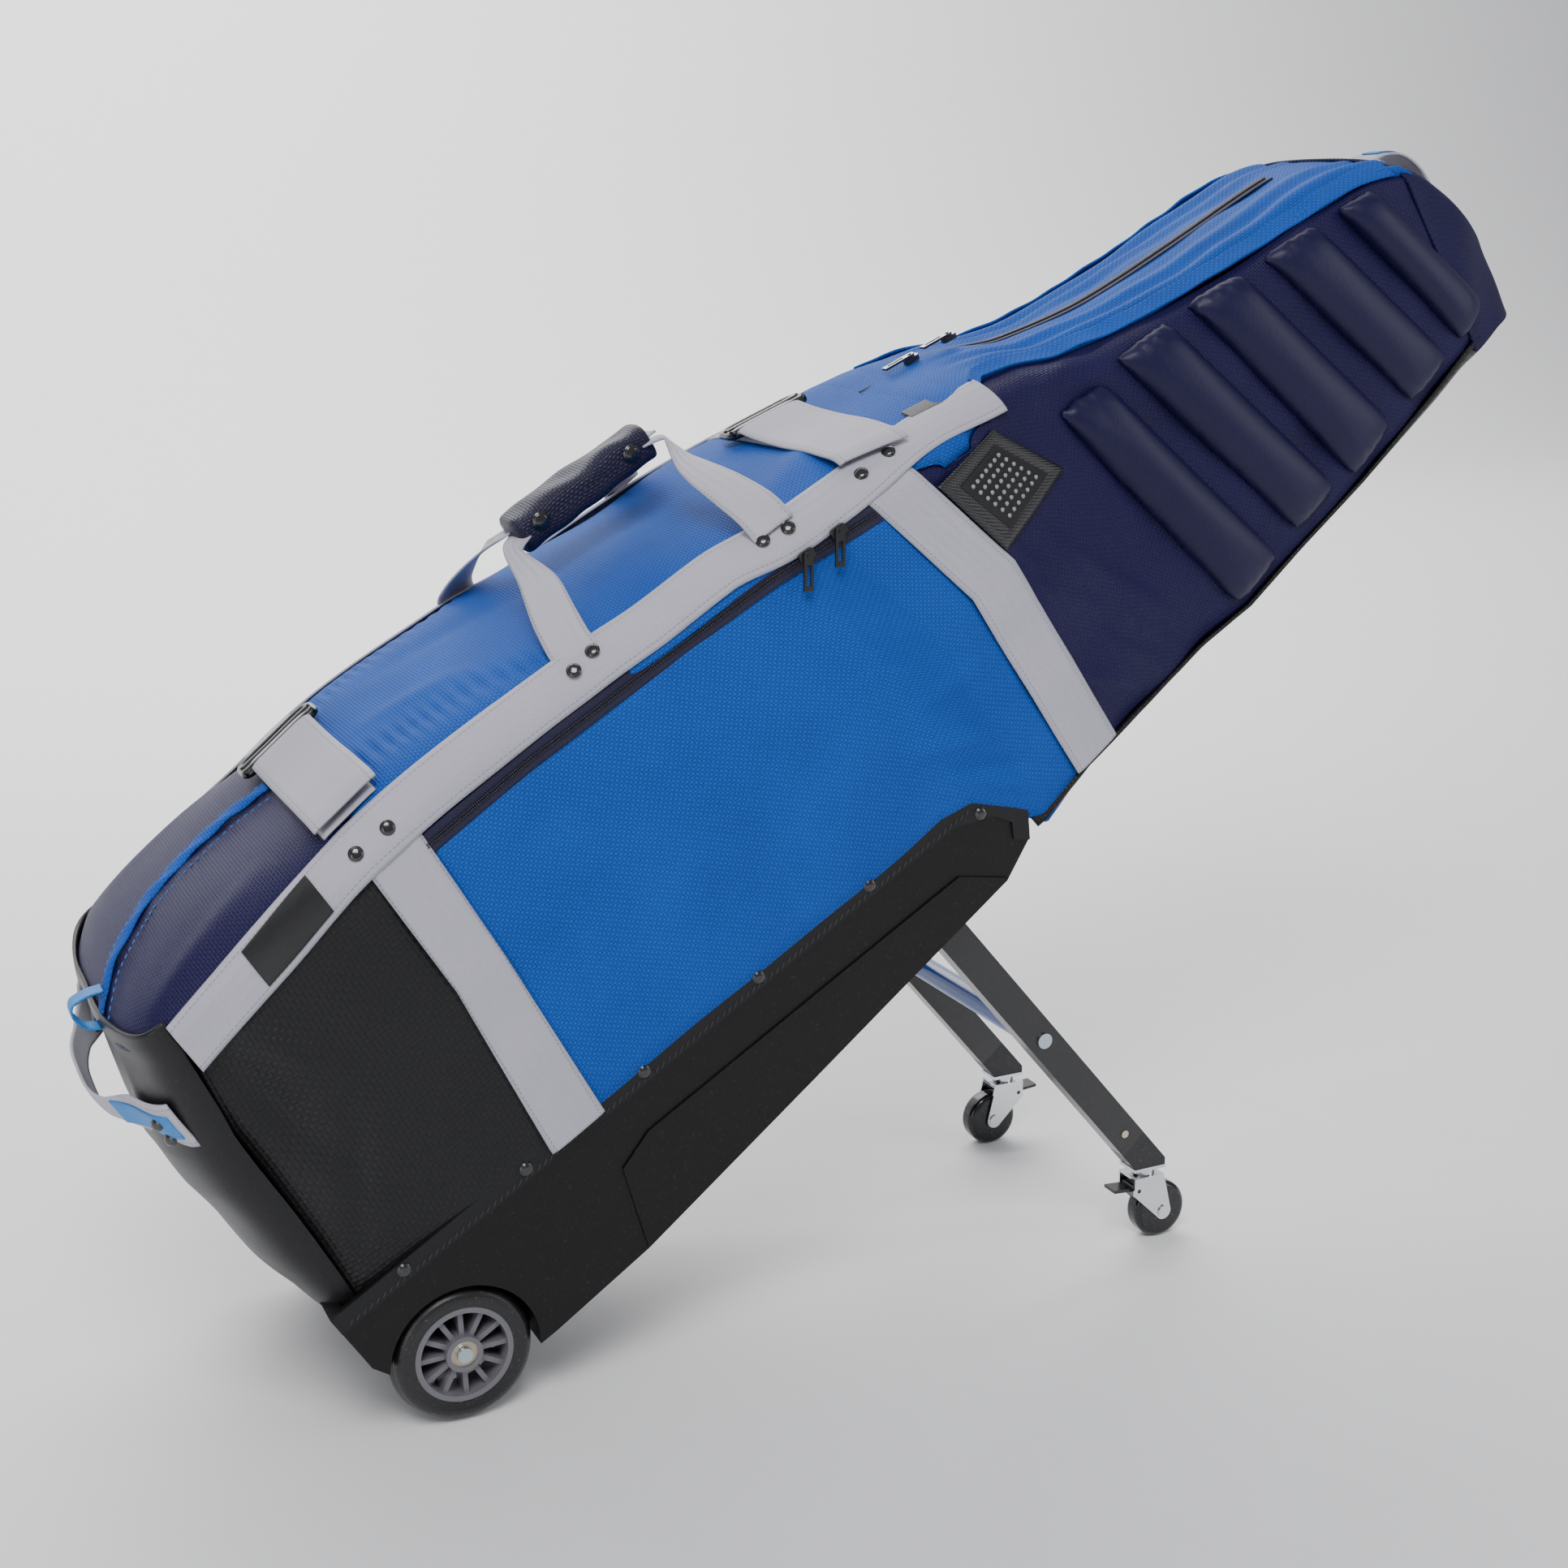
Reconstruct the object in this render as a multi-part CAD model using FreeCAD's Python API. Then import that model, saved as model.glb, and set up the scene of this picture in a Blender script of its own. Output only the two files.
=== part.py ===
import FreeCAD
import Part
import json
import math
import os

# Wheeled golf travel cover: a soft bag on a moulded base that rolls on two main wheels and
# stands tilted on a fold-out pair of legs with swivel casters. Millimetres, +Z up.
#
# Two frames are used. The bag frame has X along the bag from foot to head, Y across it and Z
# away from the base, with its origin on the main axle. The floor frame has Z up and its origin
# on the floor under the main axle. At the end everything is shifted along X, so that the
# origin is the middle of the object's footprint.

V = FreeCAD.Vector
ACROSS = V(0, 1, 0)

# ---- Stance and running gear ----
bag_tilt = 32.0
wheel_radius = 58.4
wheel_width = 33.0
wheel_outer_face = 155.5
hub_radius = 40.0
hub_width = 29.0
rim_wall = 4.6
spoke_count = 12
spoke_width = 4.2
spoke_depth = 20.0
boss_radius = 15.0
bearing_radius = 11.0
bearing_width = 7.0
axle_radius = 4.0
axle_collar_radius = 7.0
axle_screw_head_radius = 6.0
axle_screw_head_height = 3.0
axle_screw_radius = 2.5
axle_screw_length = 15.0

# ---- Moulded base ----
base_half_width = 159.0
base_wall = 4.0
flange_height = 105.0
flange_strip_height = 16.0
flange_strip_thickness = 2.0
blister_rise = 2.0
well_clearance = 2.6
well_wall = 3.0
well_inner_face = 118.0
recess_start = 64.5
recess_end = 562.0
recess_half_width = 140.0
recess_roof = 88.0
rivet_head_radius = 5.0
rivet_head_height = 2.4

# ---- Fold-out legs ----
pivot_along = 518.0
pivot_up = 40.0
leg_slope = 50.0
leg_outer_face = 135.0
leg_thickness = 22.0
leg_depth = 29.5
leg_wall = 2.0
leg_tail = 30.0
pivot_rod_radius = 6.0
pivot_sleeve_radius = 10.0
pivot_bracket_thickness = 3.4
cross_tube_distance = 193.0
cross_tube_radius = 11.0
cross_tube_wall = 2.0
cross_tube_end_plug = 18.0
cross_screw_radius = 4.0
cross_screw_head_radius = 7.0
cross_screw_head_height = 2.2
leg_rivet_distance = 332.0
leg_rivet_radius = 3.6
leg_rivet_height = 1.2
plug_length = 34.0
plug_tongue = 20.0
plug_nose = 14.0
stop_depth = 12.0

# ---- Casters ----
caster_height = 74.0
caster_wheel_radius = 27.0
caster_wheel_width = 20.0
caster_trail = 16.0
kingpin_set_back = 3.0
kingpin_radius = 4.0
kingpin_head_radius = 7.0
kingpin_head_height = 3.0
plate_thickness = 3.0
plate_half_length = 17.0
plate_half_width = 12.5
race_radius = 11.0
fork_bridge_top = 65.0
fork_plate = 2.0
fork_half_length = 17.0
fork_cheek_drop = 17.0
fork_eye_radius = 8.0
caster_axle_radius = 4.0
caster_axle_head_radius = 6.0
brake_pivot_back = 12.0
brake_pivot_height = 52.5
brake_pin_radius = 2.0
brake_half_width = 8.5
brake_reach = 24.0
brake_nose = 9.0

# ---- Soft body ----
cloth_wall = 6.0
webbing_thickness = 2.0
strap_width = 50.0
band_places = (157.0, 643.0)
band_width = 52.0
strap_rivet_places = (168.0, 196.0, 384.0, 404.0)
foot_end_cut = -25.0
lower_strap_start = 155.0
zip_height = 362.0
zip_tape_half_width = 4.5
zip_tape_thickness = 1.0
panel_seam_height = 368.0
upper_seam_along = 690.0
neck_seam_drop = 0.098
head_cut = 1252.0
back_seam_height = 56.0
back_seam_margin = 9.0
roll_count = 5
roll_first = 837.0
roll_pitch = 78.5
roll_length = 58.0
roll_lean = 78.0
roll_low = 52.0
roll_low_step = 14.0
roll_high = 308.0
roll_high_step = 5.0
roll_rise = 17.0
roll_inset = 9.0

# ---- Handles, buckles and zips ----
grip_start = 424.0
grip_length = 138.0
grip_height = 463.0
grip_half_width = 22.0
grip_half_height = 16.0
grip_slot_half_width = 18.0
grip_slot_half_height = 3.0
grip_snap_radius = 6.0
handle_spread = 178.0
handle_start = 386.0
handle_inset = 26.0
handle_fall = 0.035
handle_half_foot = 19.0
handle_foot_lift = 1.7
handle_half_inside = 16.0
grip_tail = 8.0
foot_handle_half = 84.0
foot_handle_slope = 24.0
foot_handle_stand = 30.0
foot_handle_thickness = 3.0
foot_handle_low = 300.0
foot_handle_width = 40.0
head_handle_places = (1254.0, 1284.0, 1312.0)
head_handle_rise = 29.5
head_handle_low = 206.0
head_handle_half = 19.0
lower_buckle_along = 183.0
upper_buckle_along = 674.0
buckle_length = 72.0
buckle_width = 30.0
buckle_height = 7.0
buckle_bar = 7.0
buckle_across = 34.0
strap_label_places = (70.0, 132.0)
strap_label_lift = 3.0
strap_label_width = 31.0
label_thickness = 1.0
patch_thickness = 1.5
patch_outline = [(712.0, 250.0), (818.0, 268.0), (771.0, 338.0), (696.0, 330.0)]
slider_length = 14.0
slider_width = 9.0
slider_height = 4.5
slider_post_radius = 1.5
slider_post_height = 3.0
pull_length = 27.0
pull_width = 8.0
pull_thickness = 2.0
side_slider_places = (574.0, 606.0)
top_slider_places = (800.0, 840.0)
side_zip_start = 212.0
side_zip_end = 620.0
top_zip_end = 1180.0

# ---- Clearances ----
running_clearance = 0.05
assembly_clearance = 0.1
soft_gap = 0.3

# The bag's stations, foot to head: place along the bag, half width, underside, top.
bag_stations = [
    (-64.0, 118.0, flange_height, 366.0),
    (-42.0, 144.0, flange_height, 396.0),
    (-10.0, 157.0, flange_height, 412.0),
    (60.0, 161.0, flange_height, 420.0),
    (150.0, 163.0, flange_height, 424.0),
    (250.0, 163.0, flange_height, 428.0),
    (360.0, 163.0, flange_height, 424.0),
    (440.0, 163.0, flange_height, 414.0),
    (570.0, 163.0, flange_height, 408.0),
    (625.0, 163.0, 66.0, 402.0),
    (700.0, 152.0, 48.0, 390.0),
    (770.0, 138.0, 46.0, 379.0),
    (830.0, 122.0, 44.0, 372.0),
    (880.0, 113.0, 40.0, 356.0),
    (980.0, 113.0, 50.0, 342.0),
    (1080.0, 113.0, 64.0, 336.0),
    (1180.0, 113.0, 80.0, 328.0),
    (1245.0, 111.0, 90.0, 312.0),
    (1285.0, 104.0, 90.0, 264.0),
    (1312.0, 92.0, 86.0, 206.0),
    (1330.0, 70.0, 92.0, 142.0),
]
open_floor_until = 600.0

# The base's side outline, from the foot rim down, along the underside and up to the rim.
base_outline = [
    (-58.0, flange_height),
    (-58.0, 48.0),
    (-34.0, -6.0),
    (24.0, -34.0),
    (66.0, -35.0),
    (163.0, -32.0),
    (350.0, -11.0),
    (583.0, 16.0),
    (618.0, 34.0),
    (630.0, 58.0),
    (614.0, 86.0),
    (572.0, flange_height),
]
blister_outline = [
    (163.0, -30.0),
    (184.0, 42.0),
    (218.0, 54.0),
    (476.0, 51.0),
    (548.0, 50.0),
    (584.0, 19.0),
    (350.0, -9.0),
]


# ---- Shape helpers ----
def box(x0, x1, y0, y1, z0, z1):
    return Part.makeBox(x1 - x0, y1 - y0, z1 - z0, V(x0, y0, z0))


def rod(x, z, radius, y0, y1):
    """A round bar across the object."""
    return Part.makeCylinder(radius, y1 - y0, V(x, y0, z), ACROSS)


def post(x, y, radius, z0, z1):
    return Part.makeCylinder(radius, z1 - z0, V(x, y, z0))


def outline_wire(points, y):
    corners = [V(x, y, z) for x, z in points]
    return Part.makePolygon(corners + corners[:1])


def slab(points, y0, y1):
    """A side outline of (along, up) points, extruded across the object."""
    return Part.Face(outline_wire(points, y0)).extrude(V(0, y1 - y0, 0))


def mirrored(shape):
    return shape.mirror(V(0, 0, 0), ACROSS)


def both_sides(shape):
    return [shape, mirrored(shape)]


def solids_of(shapes):
    found = []
    for shape in shapes:
        found.extend(shape.Solids)
    return found


def in_floor_frame(shape):
    """Tilts a bag-frame shape up from the floor about the main axle."""
    placed = shape.copy()
    placed.rotate(V(0, 0, 0), ACROSS, -bag_tilt)
    placed.translate(V(0, 0, wheel_radius))
    return placed


def point_in_floor_frame(along, across, up):
    tilt = math.radians(bag_tilt)
    x = along * math.cos(tilt) - up * math.sin(tilt)
    z = along * math.sin(tilt) + up * math.cos(tilt) + wheel_radius
    return V(x, across, z)


parts = {}


def add_bag_part(name, *shapes):
    parts[name] = [in_floor_frame(solid) for solid in solids_of(shapes)]


def add_floor_part(name, *shapes):
    parts[name] = solids_of(shapes)


# ---- Main wheels and axle ----
bearing_outer_end = wheel_outer_face - axle_screw_head_height - soft_gap
bearing_inner_end = wheel_outer_face - wheel_width + 2.0 * soft_gap + 3.0
hub_outer_face = wheel_outer_face - 2.0


def main_tyre():
    inner = wheel_outer_face - wheel_width
    shoulder = 9.0
    crown = 2.5
    profile = [
        V(0, inner + 2.0, hub_radius),
        V(0, inner, wheel_radius - shoulder - crown),
        V(0, inner + shoulder, wheel_radius - crown),
        V(0, inner + wheel_width / 2.0, wheel_radius),
        V(0, wheel_outer_face - shoulder, wheel_radius - crown),
        V(0, wheel_outer_face, wheel_radius - shoulder - crown),
        V(0, wheel_outer_face - 2.0, hub_radius),
    ]
    tread = Part.Arc(profile[2], profile[3], profile[4]).toShape()
    corner_in = Part.Arc(profile[1], V(0, inner + 2.4, wheel_radius - crown - 2.8), profile[2])
    corner_out = Part.Arc(profile[4], V(0, wheel_outer_face - 2.4, wheel_radius - crown - 2.8),
                          profile[5])
    edges = [
        Part.makeLine(profile[0], profile[1]),
        corner_in.toShape(),
        tread,
        corner_out.toShape(),
        Part.makeLine(profile[5], profile[6]),
        Part.makeLine(profile[6], profile[0]),
    ]
    face = Part.Face(Part.Wire(edges))
    return face.revolve(V(0, 0, 0), ACROSS, 360)


def main_hub():
    hub_inner_face = hub_outer_face - hub_width
    rim = rod(0, 0, hub_radius - assembly_clearance, hub_inner_face, hub_outer_face)
    rim = rim.cut(rod(0, 0, hub_radius - rim_wall, hub_inner_face, hub_outer_face))
    boss = rod(0, 0, boss_radius, hub_inner_face, hub_outer_face)
    spoke_middle = (hub_inner_face + hub_outer_face) / 2.0
    spoke_reach = hub_radius - rim_wall / 2.0
    hub = rim.fuse(boss)
    for index in range(spoke_count):
        spoke = box(0, spoke_reach, spoke_middle - spoke_depth / 2.0,
                    spoke_middle + spoke_depth / 2.0, -spoke_width / 2.0, spoke_width / 2.0)
        spoke.rotate(V(0, 0, 0), ACROSS, index * 360.0 / spoke_count)
        hub = hub.fuse(spoke)
    hub = hub.cut(rod(0, 0, boss_radius - 6.0, hub_inner_face, hub_outer_face))
    seats = [(hub_inner_face, bearing_inner_end + bearing_width + assembly_clearance),
             (bearing_outer_end - bearing_width - assembly_clearance, hub_outer_face)]
    for low, high in seats:
        hub = hub.cut(rod(0, 0, bearing_radius + running_clearance, low, high))
    return hub.removeSplitter()


def main_bearings():
    rings = []
    for outer_end in (bearing_inner_end + bearing_width, bearing_outer_end):
        ring = rod(0, 0, bearing_radius, outer_end - bearing_width, outer_end)
        bore = rod(0, 0, axle_radius + running_clearance, outer_end - bearing_width, outer_end)
        rings.append(ring.cut(bore))
    return Part.makeCompound(rings)


def main_axle():
    reach = wheel_outer_face - axle_screw_head_height
    axle = rod(0, 0, axle_radius, -reach, reach)
    collar = rod(0, 0, axle_collar_radius, well_inner_face + soft_gap,
                 bearing_inner_end - assembly_clearance)
    screw_hole = rod(0, 0, axle_screw_radius + running_clearance, reach - axle_screw_length, reach)
    for shape in both_sides(collar):
        axle = axle.fuse(shape)
    for shape in both_sides(screw_hole):
        axle = axle.cut(shape)
    return axle


def axle_screw():
    reach = wheel_outer_face - axle_screw_head_height
    head = rod(0, 0, axle_screw_head_radius, reach, wheel_outer_face)
    shank = rod(0, 0, axle_screw_radius, reach - axle_screw_length + 1.0, reach)
    return head.fuse(shank)


def add_running_gear():
    for side in ("left", "right"):
        for name, shape in (("main_tyre", main_tyre()), ("main_hub", main_hub()),
                            ("main_bearings", main_bearings())):
            place = mirrored(shape) if side == "right" else shape
            add_bag_part(name + "_" + side, place)
    add_bag_part("main_axle", main_axle())
    add_bag_part("axle_screws", *both_sides(axle_screw()))


# ---- Moulded base ----
def inset(points, distance):
    """The same outline, moved inwards by the wall."""
    face = Part.Face(outline_wire(points, 0.0))
    return face.makeOffset2D(-distance, 2).OuterWire


def base_moulding():
    body = slab(base_outline, -base_half_width, base_half_width)
    inner = inset(base_outline, base_wall)
    half = base_half_width - base_wall
    cavity = Part.Face(inner).extrude(V(0, 2.0 * half, 0))
    cavity.translate(V(0, -half, 0))
    raised = cavity.copy()
    raised.translate(V(8.0, 0, 14.0))
    cavity = cavity.fuse(raised)
    well_radius = wheel_radius + well_clearance
    tunnel_wall = base_wall
    tunnel = box(recess_start - well_wall, recess_end + tunnel_wall,
                 -recess_half_width - tunnel_wall, recess_half_width + tunnel_wall,
                 -80.0, recess_roof + tunnel_wall)
    recess = box(recess_start, recess_end, -recess_half_width, recess_half_width,
                 -80.0, recess_roof)
    well = rod(0, 0, well_radius, well_inner_face, base_half_width + 10.0)
    well_skin = rod(0, 0, well_radius + well_wall, well_inner_face - well_wall,
                    base_half_width + 10.0)
    cavity = cavity.cut(tunnel)
    for shape in both_sides(well_skin):
        cavity = cavity.cut(shape)
    base = body.cut(cavity).cut(recess)
    for shape in both_sides(well):
        base = base.cut(shape)
    blister = slab(blister_outline, base_half_width - 1.0, base_half_width + blister_rise)
    for shape in both_sides(blister):
        base = base.fuse(shape)
    base = base.cut(recess)
    base = base.cut(rod(0, 0, axle_radius + assembly_clearance, -base_half_width,
                        base_half_width))
    base = base.cut(rod(pivot_along, pivot_up, pivot_rod_radius + assembly_clearance,
                        -recess_half_width - tunnel_wall, recess_half_width + tunnel_wall))
    return base.removeSplitter()


rivet_places = [7.0, 125.0, 243.0, 361.0, 479.0]
last_rivet_place = (592.0, 84.0)


def base_rivet(along, up):
    start = base_half_width + flange_strip_thickness
    return rod(along, up, rivet_head_radius, start, start + rivet_head_height)


def add_base():
    add_bag_part("base_moulding", base_moulding())
    strip_outline = [
        (-58.0, flange_height),
        (-58.0, flange_height - flange_strip_height),
        (566.0, flange_height - flange_strip_height),
        (601.0, 74.0),
        (612.0, 58.0),
        (606.0, 44.0),
        (618.0, 34.0),
        (630.0, 58.0),
        (614.0, 86.0),
        (572.0, flange_height),
    ]
    strip = slab(strip_outline, base_half_width, base_half_width + flange_strip_thickness)
    well = rod(0, 0, wheel_radius + well_clearance, 0, base_half_width + 10.0)
    add_bag_part("flange_strips", *both_sides(strip.cut(well)))
    heads = [base_rivet(along, flange_height - flange_strip_height / 2.0)
             for along in rivet_places]
    heads.append(base_rivet(*last_rivet_place))
    rivets = []
    for head in heads:
        rivets.extend(both_sides(head))
    return rivets


# ---- Leg hinge in the base ----
def leg_hinge_parts():
    hinge = rod(pivot_along, pivot_up, pivot_rod_radius,
                -recess_half_width - base_wall + soft_gap,
                recess_half_width + base_wall - soft_gap)
    bracket = box(pivot_along - 22.0, pivot_along + 22.0,
                  recess_half_width - pivot_bracket_thickness, recess_half_width,
                  pivot_up - 16.0, recess_roof)
    bracket = bracket.cut(rod(pivot_along, pivot_up, pivot_rod_radius + assembly_clearance,
                              0, recess_half_width))
    inner_face = leg_outer_face - leg_thickness
    tail_face = pivot_along - leg_depth / 2.0
    lean = math.radians(90.0 - bag_tilt - leg_slope)
    contact = tail_face * 1.0 - math.tan(lean) * (recess_roof - pivot_up) - soft_gap
    stop = box(contact - stop_depth, contact, inner_face, leg_outer_face,
               pivot_up + leg_depth / 2.0 + 2.0, recess_roof)
    add_bag_part("leg_pivot_rod", hinge)
    add_bag_part("leg_pivot_brackets", *both_sides(bracket))
    add_bag_part("leg_stops", *both_sides(stop))


# ---- Legs: built along X from the hinge, then turned down to the floor ----
hinge_point = point_in_floor_frame(pivot_along, 0.0, pivot_up)
slope = math.radians(leg_slope)
leg_reach = (hinge_point.z - caster_height) / math.sin(slope)
leg_end_x = hinge_point.x + leg_reach * math.cos(slope)
kingpin_x = leg_end_x - kingpin_set_back
leg_middle = leg_outer_face - leg_thickness / 2.0


def turned_to_floor(shape):
    placed = shape.copy()
    placed.rotate(V(0, 0, 0), ACROSS, leg_slope)
    placed.translate(hinge_point)
    return placed


def leg_tube():
    end = leg_reach - plug_length
    half = leg_depth / 2.0
    tube = box(-leg_tail, end, leg_outer_face - leg_thickness, leg_outer_face, -half, half)
    hollow = box(-leg_tail, end, leg_outer_face - leg_thickness + leg_wall,
                 leg_outer_face - leg_wall, -half + leg_wall, half - leg_wall)
    tube = tube.cut(hollow)
    inner = leg_outer_face - leg_thickness
    tube = tube.cut(rod(0, 0, pivot_rod_radius + running_clearance, inner, leg_outer_face))
    tube = tube.cut(rod(cross_tube_distance, 0, cross_screw_radius + running_clearance,
                        inner, leg_outer_face))
    tube = tube.cut(rod(leg_rivet_distance, 0, leg_rivet_radius / 2.0 + running_clearance,
                        leg_outer_face - leg_wall, leg_outer_face))
    return turned_to_floor(tube)


def leg_end_plug():
    start = leg_reach - plug_length
    half = leg_depth / 2.0
    inner = leg_outer_face - leg_thickness
    fit = leg_wall + assembly_clearance
    nose = box(start, leg_reach + 30.0, inner, leg_outer_face, -half, half)
    tongue = box(start - plug_tongue, start, inner + fit, leg_outer_face - fit,
                 -half + fit, half - fit)
    plug = turned_to_floor(nose.fuse(tongue))
    below = box(leg_end_x - 100.0, leg_end_x + 100.0, 0, 2.0 * leg_outer_face, -50.0,
                caster_height)
    beyond = box(leg_end_x + plug_nose, leg_end_x + 100.0, 0, 2.0 * leg_outer_face, -50.0,
                 caster_height + 100.0)
    return plug.cut(below).cut(beyond)


def cross_tube():
    reach = leg_outer_face - leg_thickness
    tube = rod(cross_tube_distance, 0, cross_tube_radius, -reach, reach)
    inside = reach - cross_tube_end_plug
    tube = tube.cut(rod(cross_tube_distance, 0, cross_tube_radius - cross_tube_wall,
                        -inside, inside))
    tube = tube.cut(rod(cross_tube_distance, 0, cross_screw_radius + running_clearance,
                        -reach, reach))
    return turned_to_floor(tube)


def cross_screw():
    inner = leg_outer_face - leg_thickness - cross_tube_end_plug + 2.0
    shank = rod(cross_tube_distance, 0, cross_screw_radius, inner, leg_outer_face)
    head = rod(cross_tube_distance, 0, cross_screw_head_radius, leg_outer_face,
               leg_outer_face + cross_screw_head_height)
    return turned_to_floor(shank.fuse(head))


def leg_rivet():
    shank = rod(leg_rivet_distance, 0, leg_rivet_radius / 2.0, leg_outer_face - leg_wall,
                leg_outer_face)
    head = rod(leg_rivet_distance, 0, leg_rivet_radius, leg_outer_face,
               leg_outer_face + leg_rivet_height)
    return turned_to_floor(shank.fuse(head))


def pivot_sleeve():
    reach = leg_outer_face - leg_thickness
    sleeve = rod(0, 0, pivot_sleeve_radius, -reach, reach)
    bore = rod(0, 0, pivot_rod_radius + running_clearance, -reach, reach)
    return turned_to_floor(sleeve.cut(bore))


def caster_plate():
    y = leg_middle
    plate = box(kingpin_x - plate_half_length, kingpin_x + plate_half_length,
                y - plate_half_width, y + plate_half_width,
                caster_height - plate_thickness, caster_height)
    race = post(kingpin_x, y, race_radius, fork_bridge_top + soft_gap,
                caster_height - plate_thickness)
    pin_low = fork_bridge_top - fork_plate - soft_gap - kingpin_head_height
    pin = post(kingpin_x, y, kingpin_radius, pin_low, caster_height - plate_thickness)
    head = post(kingpin_x, y, kingpin_head_radius, pin_low, pin_low + kingpin_head_height)
    return plate.fuse(race).fuse(pin).fuse(head).removeSplitter()


def add_legs():
    add_floor_part("leg_left", leg_tube())
    add_floor_part("leg_right", mirrored(leg_tube()))
    add_floor_part("leg_end_plugs", *both_sides(leg_end_plug()))
    add_floor_part("leg_cross_tube", cross_tube())
    add_floor_part("leg_cross_screws", *both_sides(cross_screw()))
    add_floor_part("leg_rivets", *both_sides(leg_rivet()))
    add_floor_part("leg_pivot_sleeve", pivot_sleeve())
    add_floor_part("caster_plates", *both_sides(caster_plate()))


# ---- Casters: built about the kingpin with the wheel trailing towards +X ----
def caster_fork():
    cheek_inner = caster_wheel_width / 2.0 + 1.2
    cheek_outer = cheek_inner + fork_plate
    top = fork_bridge_top
    low = top - fork_cheek_drop
    eye_x = caster_trail
    eye_z = caster_wheel_radius
    r = fork_eye_radius
    cheek_outline = [
        (-fork_half_length, top),
        (-fork_half_length, low),
        (eye_x - 0.80 * r, eye_z - 0.60 * r),
        (eye_x + 0.95 * r, eye_z + 0.31 * r),
        (fork_half_length - 2.0, top),
    ]
    cheek = slab(cheek_outline, cheek_inner, cheek_outer)
    cheek = cheek.fuse(rod(eye_x, eye_z, r, cheek_inner, cheek_outer))
    bridge = box(-fork_half_length, fork_half_length - 2.0, -cheek_outer, cheek_outer,
                 top - fork_plate, top)
    fork = bridge
    for shape in both_sides(cheek):
        fork = fork.fuse(shape)
    fork = fork.cut(post(0, 0, kingpin_radius + running_clearance, top - fork_plate, top))
    fork = fork.cut(rod(eye_x, eye_z, caster_axle_radius + running_clearance,
                        -cheek_outer, cheek_outer))
    fork = fork.cut(rod(-brake_pivot_back, brake_pivot_height,
                        brake_pin_radius + running_clearance, -cheek_outer, cheek_outer))
    return fork.removeSplitter()


def caster_axle():
    outer = caster_wheel_width / 2.0 + 1.2 + fork_plate
    shank = rod(caster_trail, caster_wheel_radius, caster_axle_radius, -outer, outer)
    head = rod(caster_trail, caster_wheel_radius, caster_axle_head_radius, outer, outer + 1.6)
    for shape in both_sides(head):
        shank = shank.fuse(shape)
    return shank


def caster_wheel():
    half = caster_wheel_width / 2.0
    wheel = rod(caster_trail, caster_wheel_radius, caster_wheel_radius, -half, half)
    rims = [edge for edge in wheel.Edges
            if edge.Curve.TypeId == "Part::GeomCircle" and len(edge.Vertexes) == 1]
    wheel = wheel.makeFillet(6.0, rims)
    return wheel.cut(rod(caster_trail, caster_wheel_radius,
                         caster_axle_radius + running_clearance, -half, half))


def brake_lever():
    x = -brake_pivot_back
    z = brake_pivot_height
    boss = rod(x, z, 4.0, -brake_half_width, brake_half_width)
    tab = slab([(x, z - 1.5), (x, z + 1.5), (x - brake_reach, z + 3.5),
                (x - brake_reach, z + 0.5)], -brake_half_width, brake_half_width)
    nose = slab([(x - 3.0, z), (x + 3.0, z), (x + brake_nose / 2.0, z - brake_nose),
                 (x + 0.5, z - brake_nose - 0.8)], -brake_half_width + 1.5,
                brake_half_width - 1.5)
    pin_reach = caster_wheel_width / 2.0 + 1.2 + fork_plate
    pin = rod(x, z, brake_pin_radius, -pin_reach, pin_reach)
    return boss.fuse(tab).fuse(nose).fuse(pin).removeSplitter()


def add_casters():
    pieces = (("caster_fork", caster_fork()), ("caster_axle", caster_axle()),
              ("caster_wheel", caster_wheel()), ("brake_lever", brake_lever()))
    for name, shape in pieces:
        trailing = shape.copy()
        trailing.translate(V(kingpin_x, -leg_middle, 0))
        add_floor_part(name + "_right", trailing)
        leading = shape.copy()
        leading.rotate(V(0, 0, 0), V(0, 0, 1), 180.0)
        leading.translate(V(kingpin_x, leg_middle, 0))
        add_floor_part(name + "_left", leading)


# ---- Soft body: one closed shape, cut into its sewn panels ----
def bag_section(along, half_width, bottom, top, grow, floor_drop):
    a = half_width + grow
    low = bottom - grow - floor_drop
    high = top + grow
    height = high - low
    corner = 6.0
    side = [
        (a - corner, low),
        (a, low + corner),
        (a, high - 0.11 * height),
        (a - 10.0, high - 0.055 * height),
        (a - 38.0, high - 0.02 * height),
        (0.4 * a, high),
    ]
    ring = side + [(-y, z) for y, z in reversed(side)]
    corners = [V(along, y, z) for y, z in ring]
    return Part.makePolygon(corners + corners[:1])


def bag_form(grow, open_floor):
    """The closed outer form of the bag, moved outwards by a distance."""
    wires = []
    last = len(bag_stations) - 1
    for index, (along, half_width, bottom, top) in enumerate(bag_stations):
        if index == 0:
            along -= grow
        if index == last:
            along += grow
        drop = 20.0 if open_floor and along < open_floor_until else 0.0
        wires.append(bag_section(along, half_width, bottom, top, grow, drop))
    return Part.makeLoft(wires, True, True)


def neck_seam(along):
    """Height of the seam between the neck's side and its top."""
    return panel_seam_height - neck_seam_drop * (along - upper_seam_along)


def between_stations(along, column):
    """A station value, in proportion between the two nearest stations."""
    for first, second in zip(bag_stations, bag_stations[1:]):
        if first[0] <= along <= second[0]:
            share = (along - first[0]) / (second[0] - first[0])
            return first[column] + share * (second[column] - first[column])
    return bag_stations[-1][column]


def station_half_width(along):
    return between_stations(along, 1)


def station_bottom(along):
    return between_stations(along, 2)


def station_top(along):
    return between_stations(along, 3)


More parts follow.
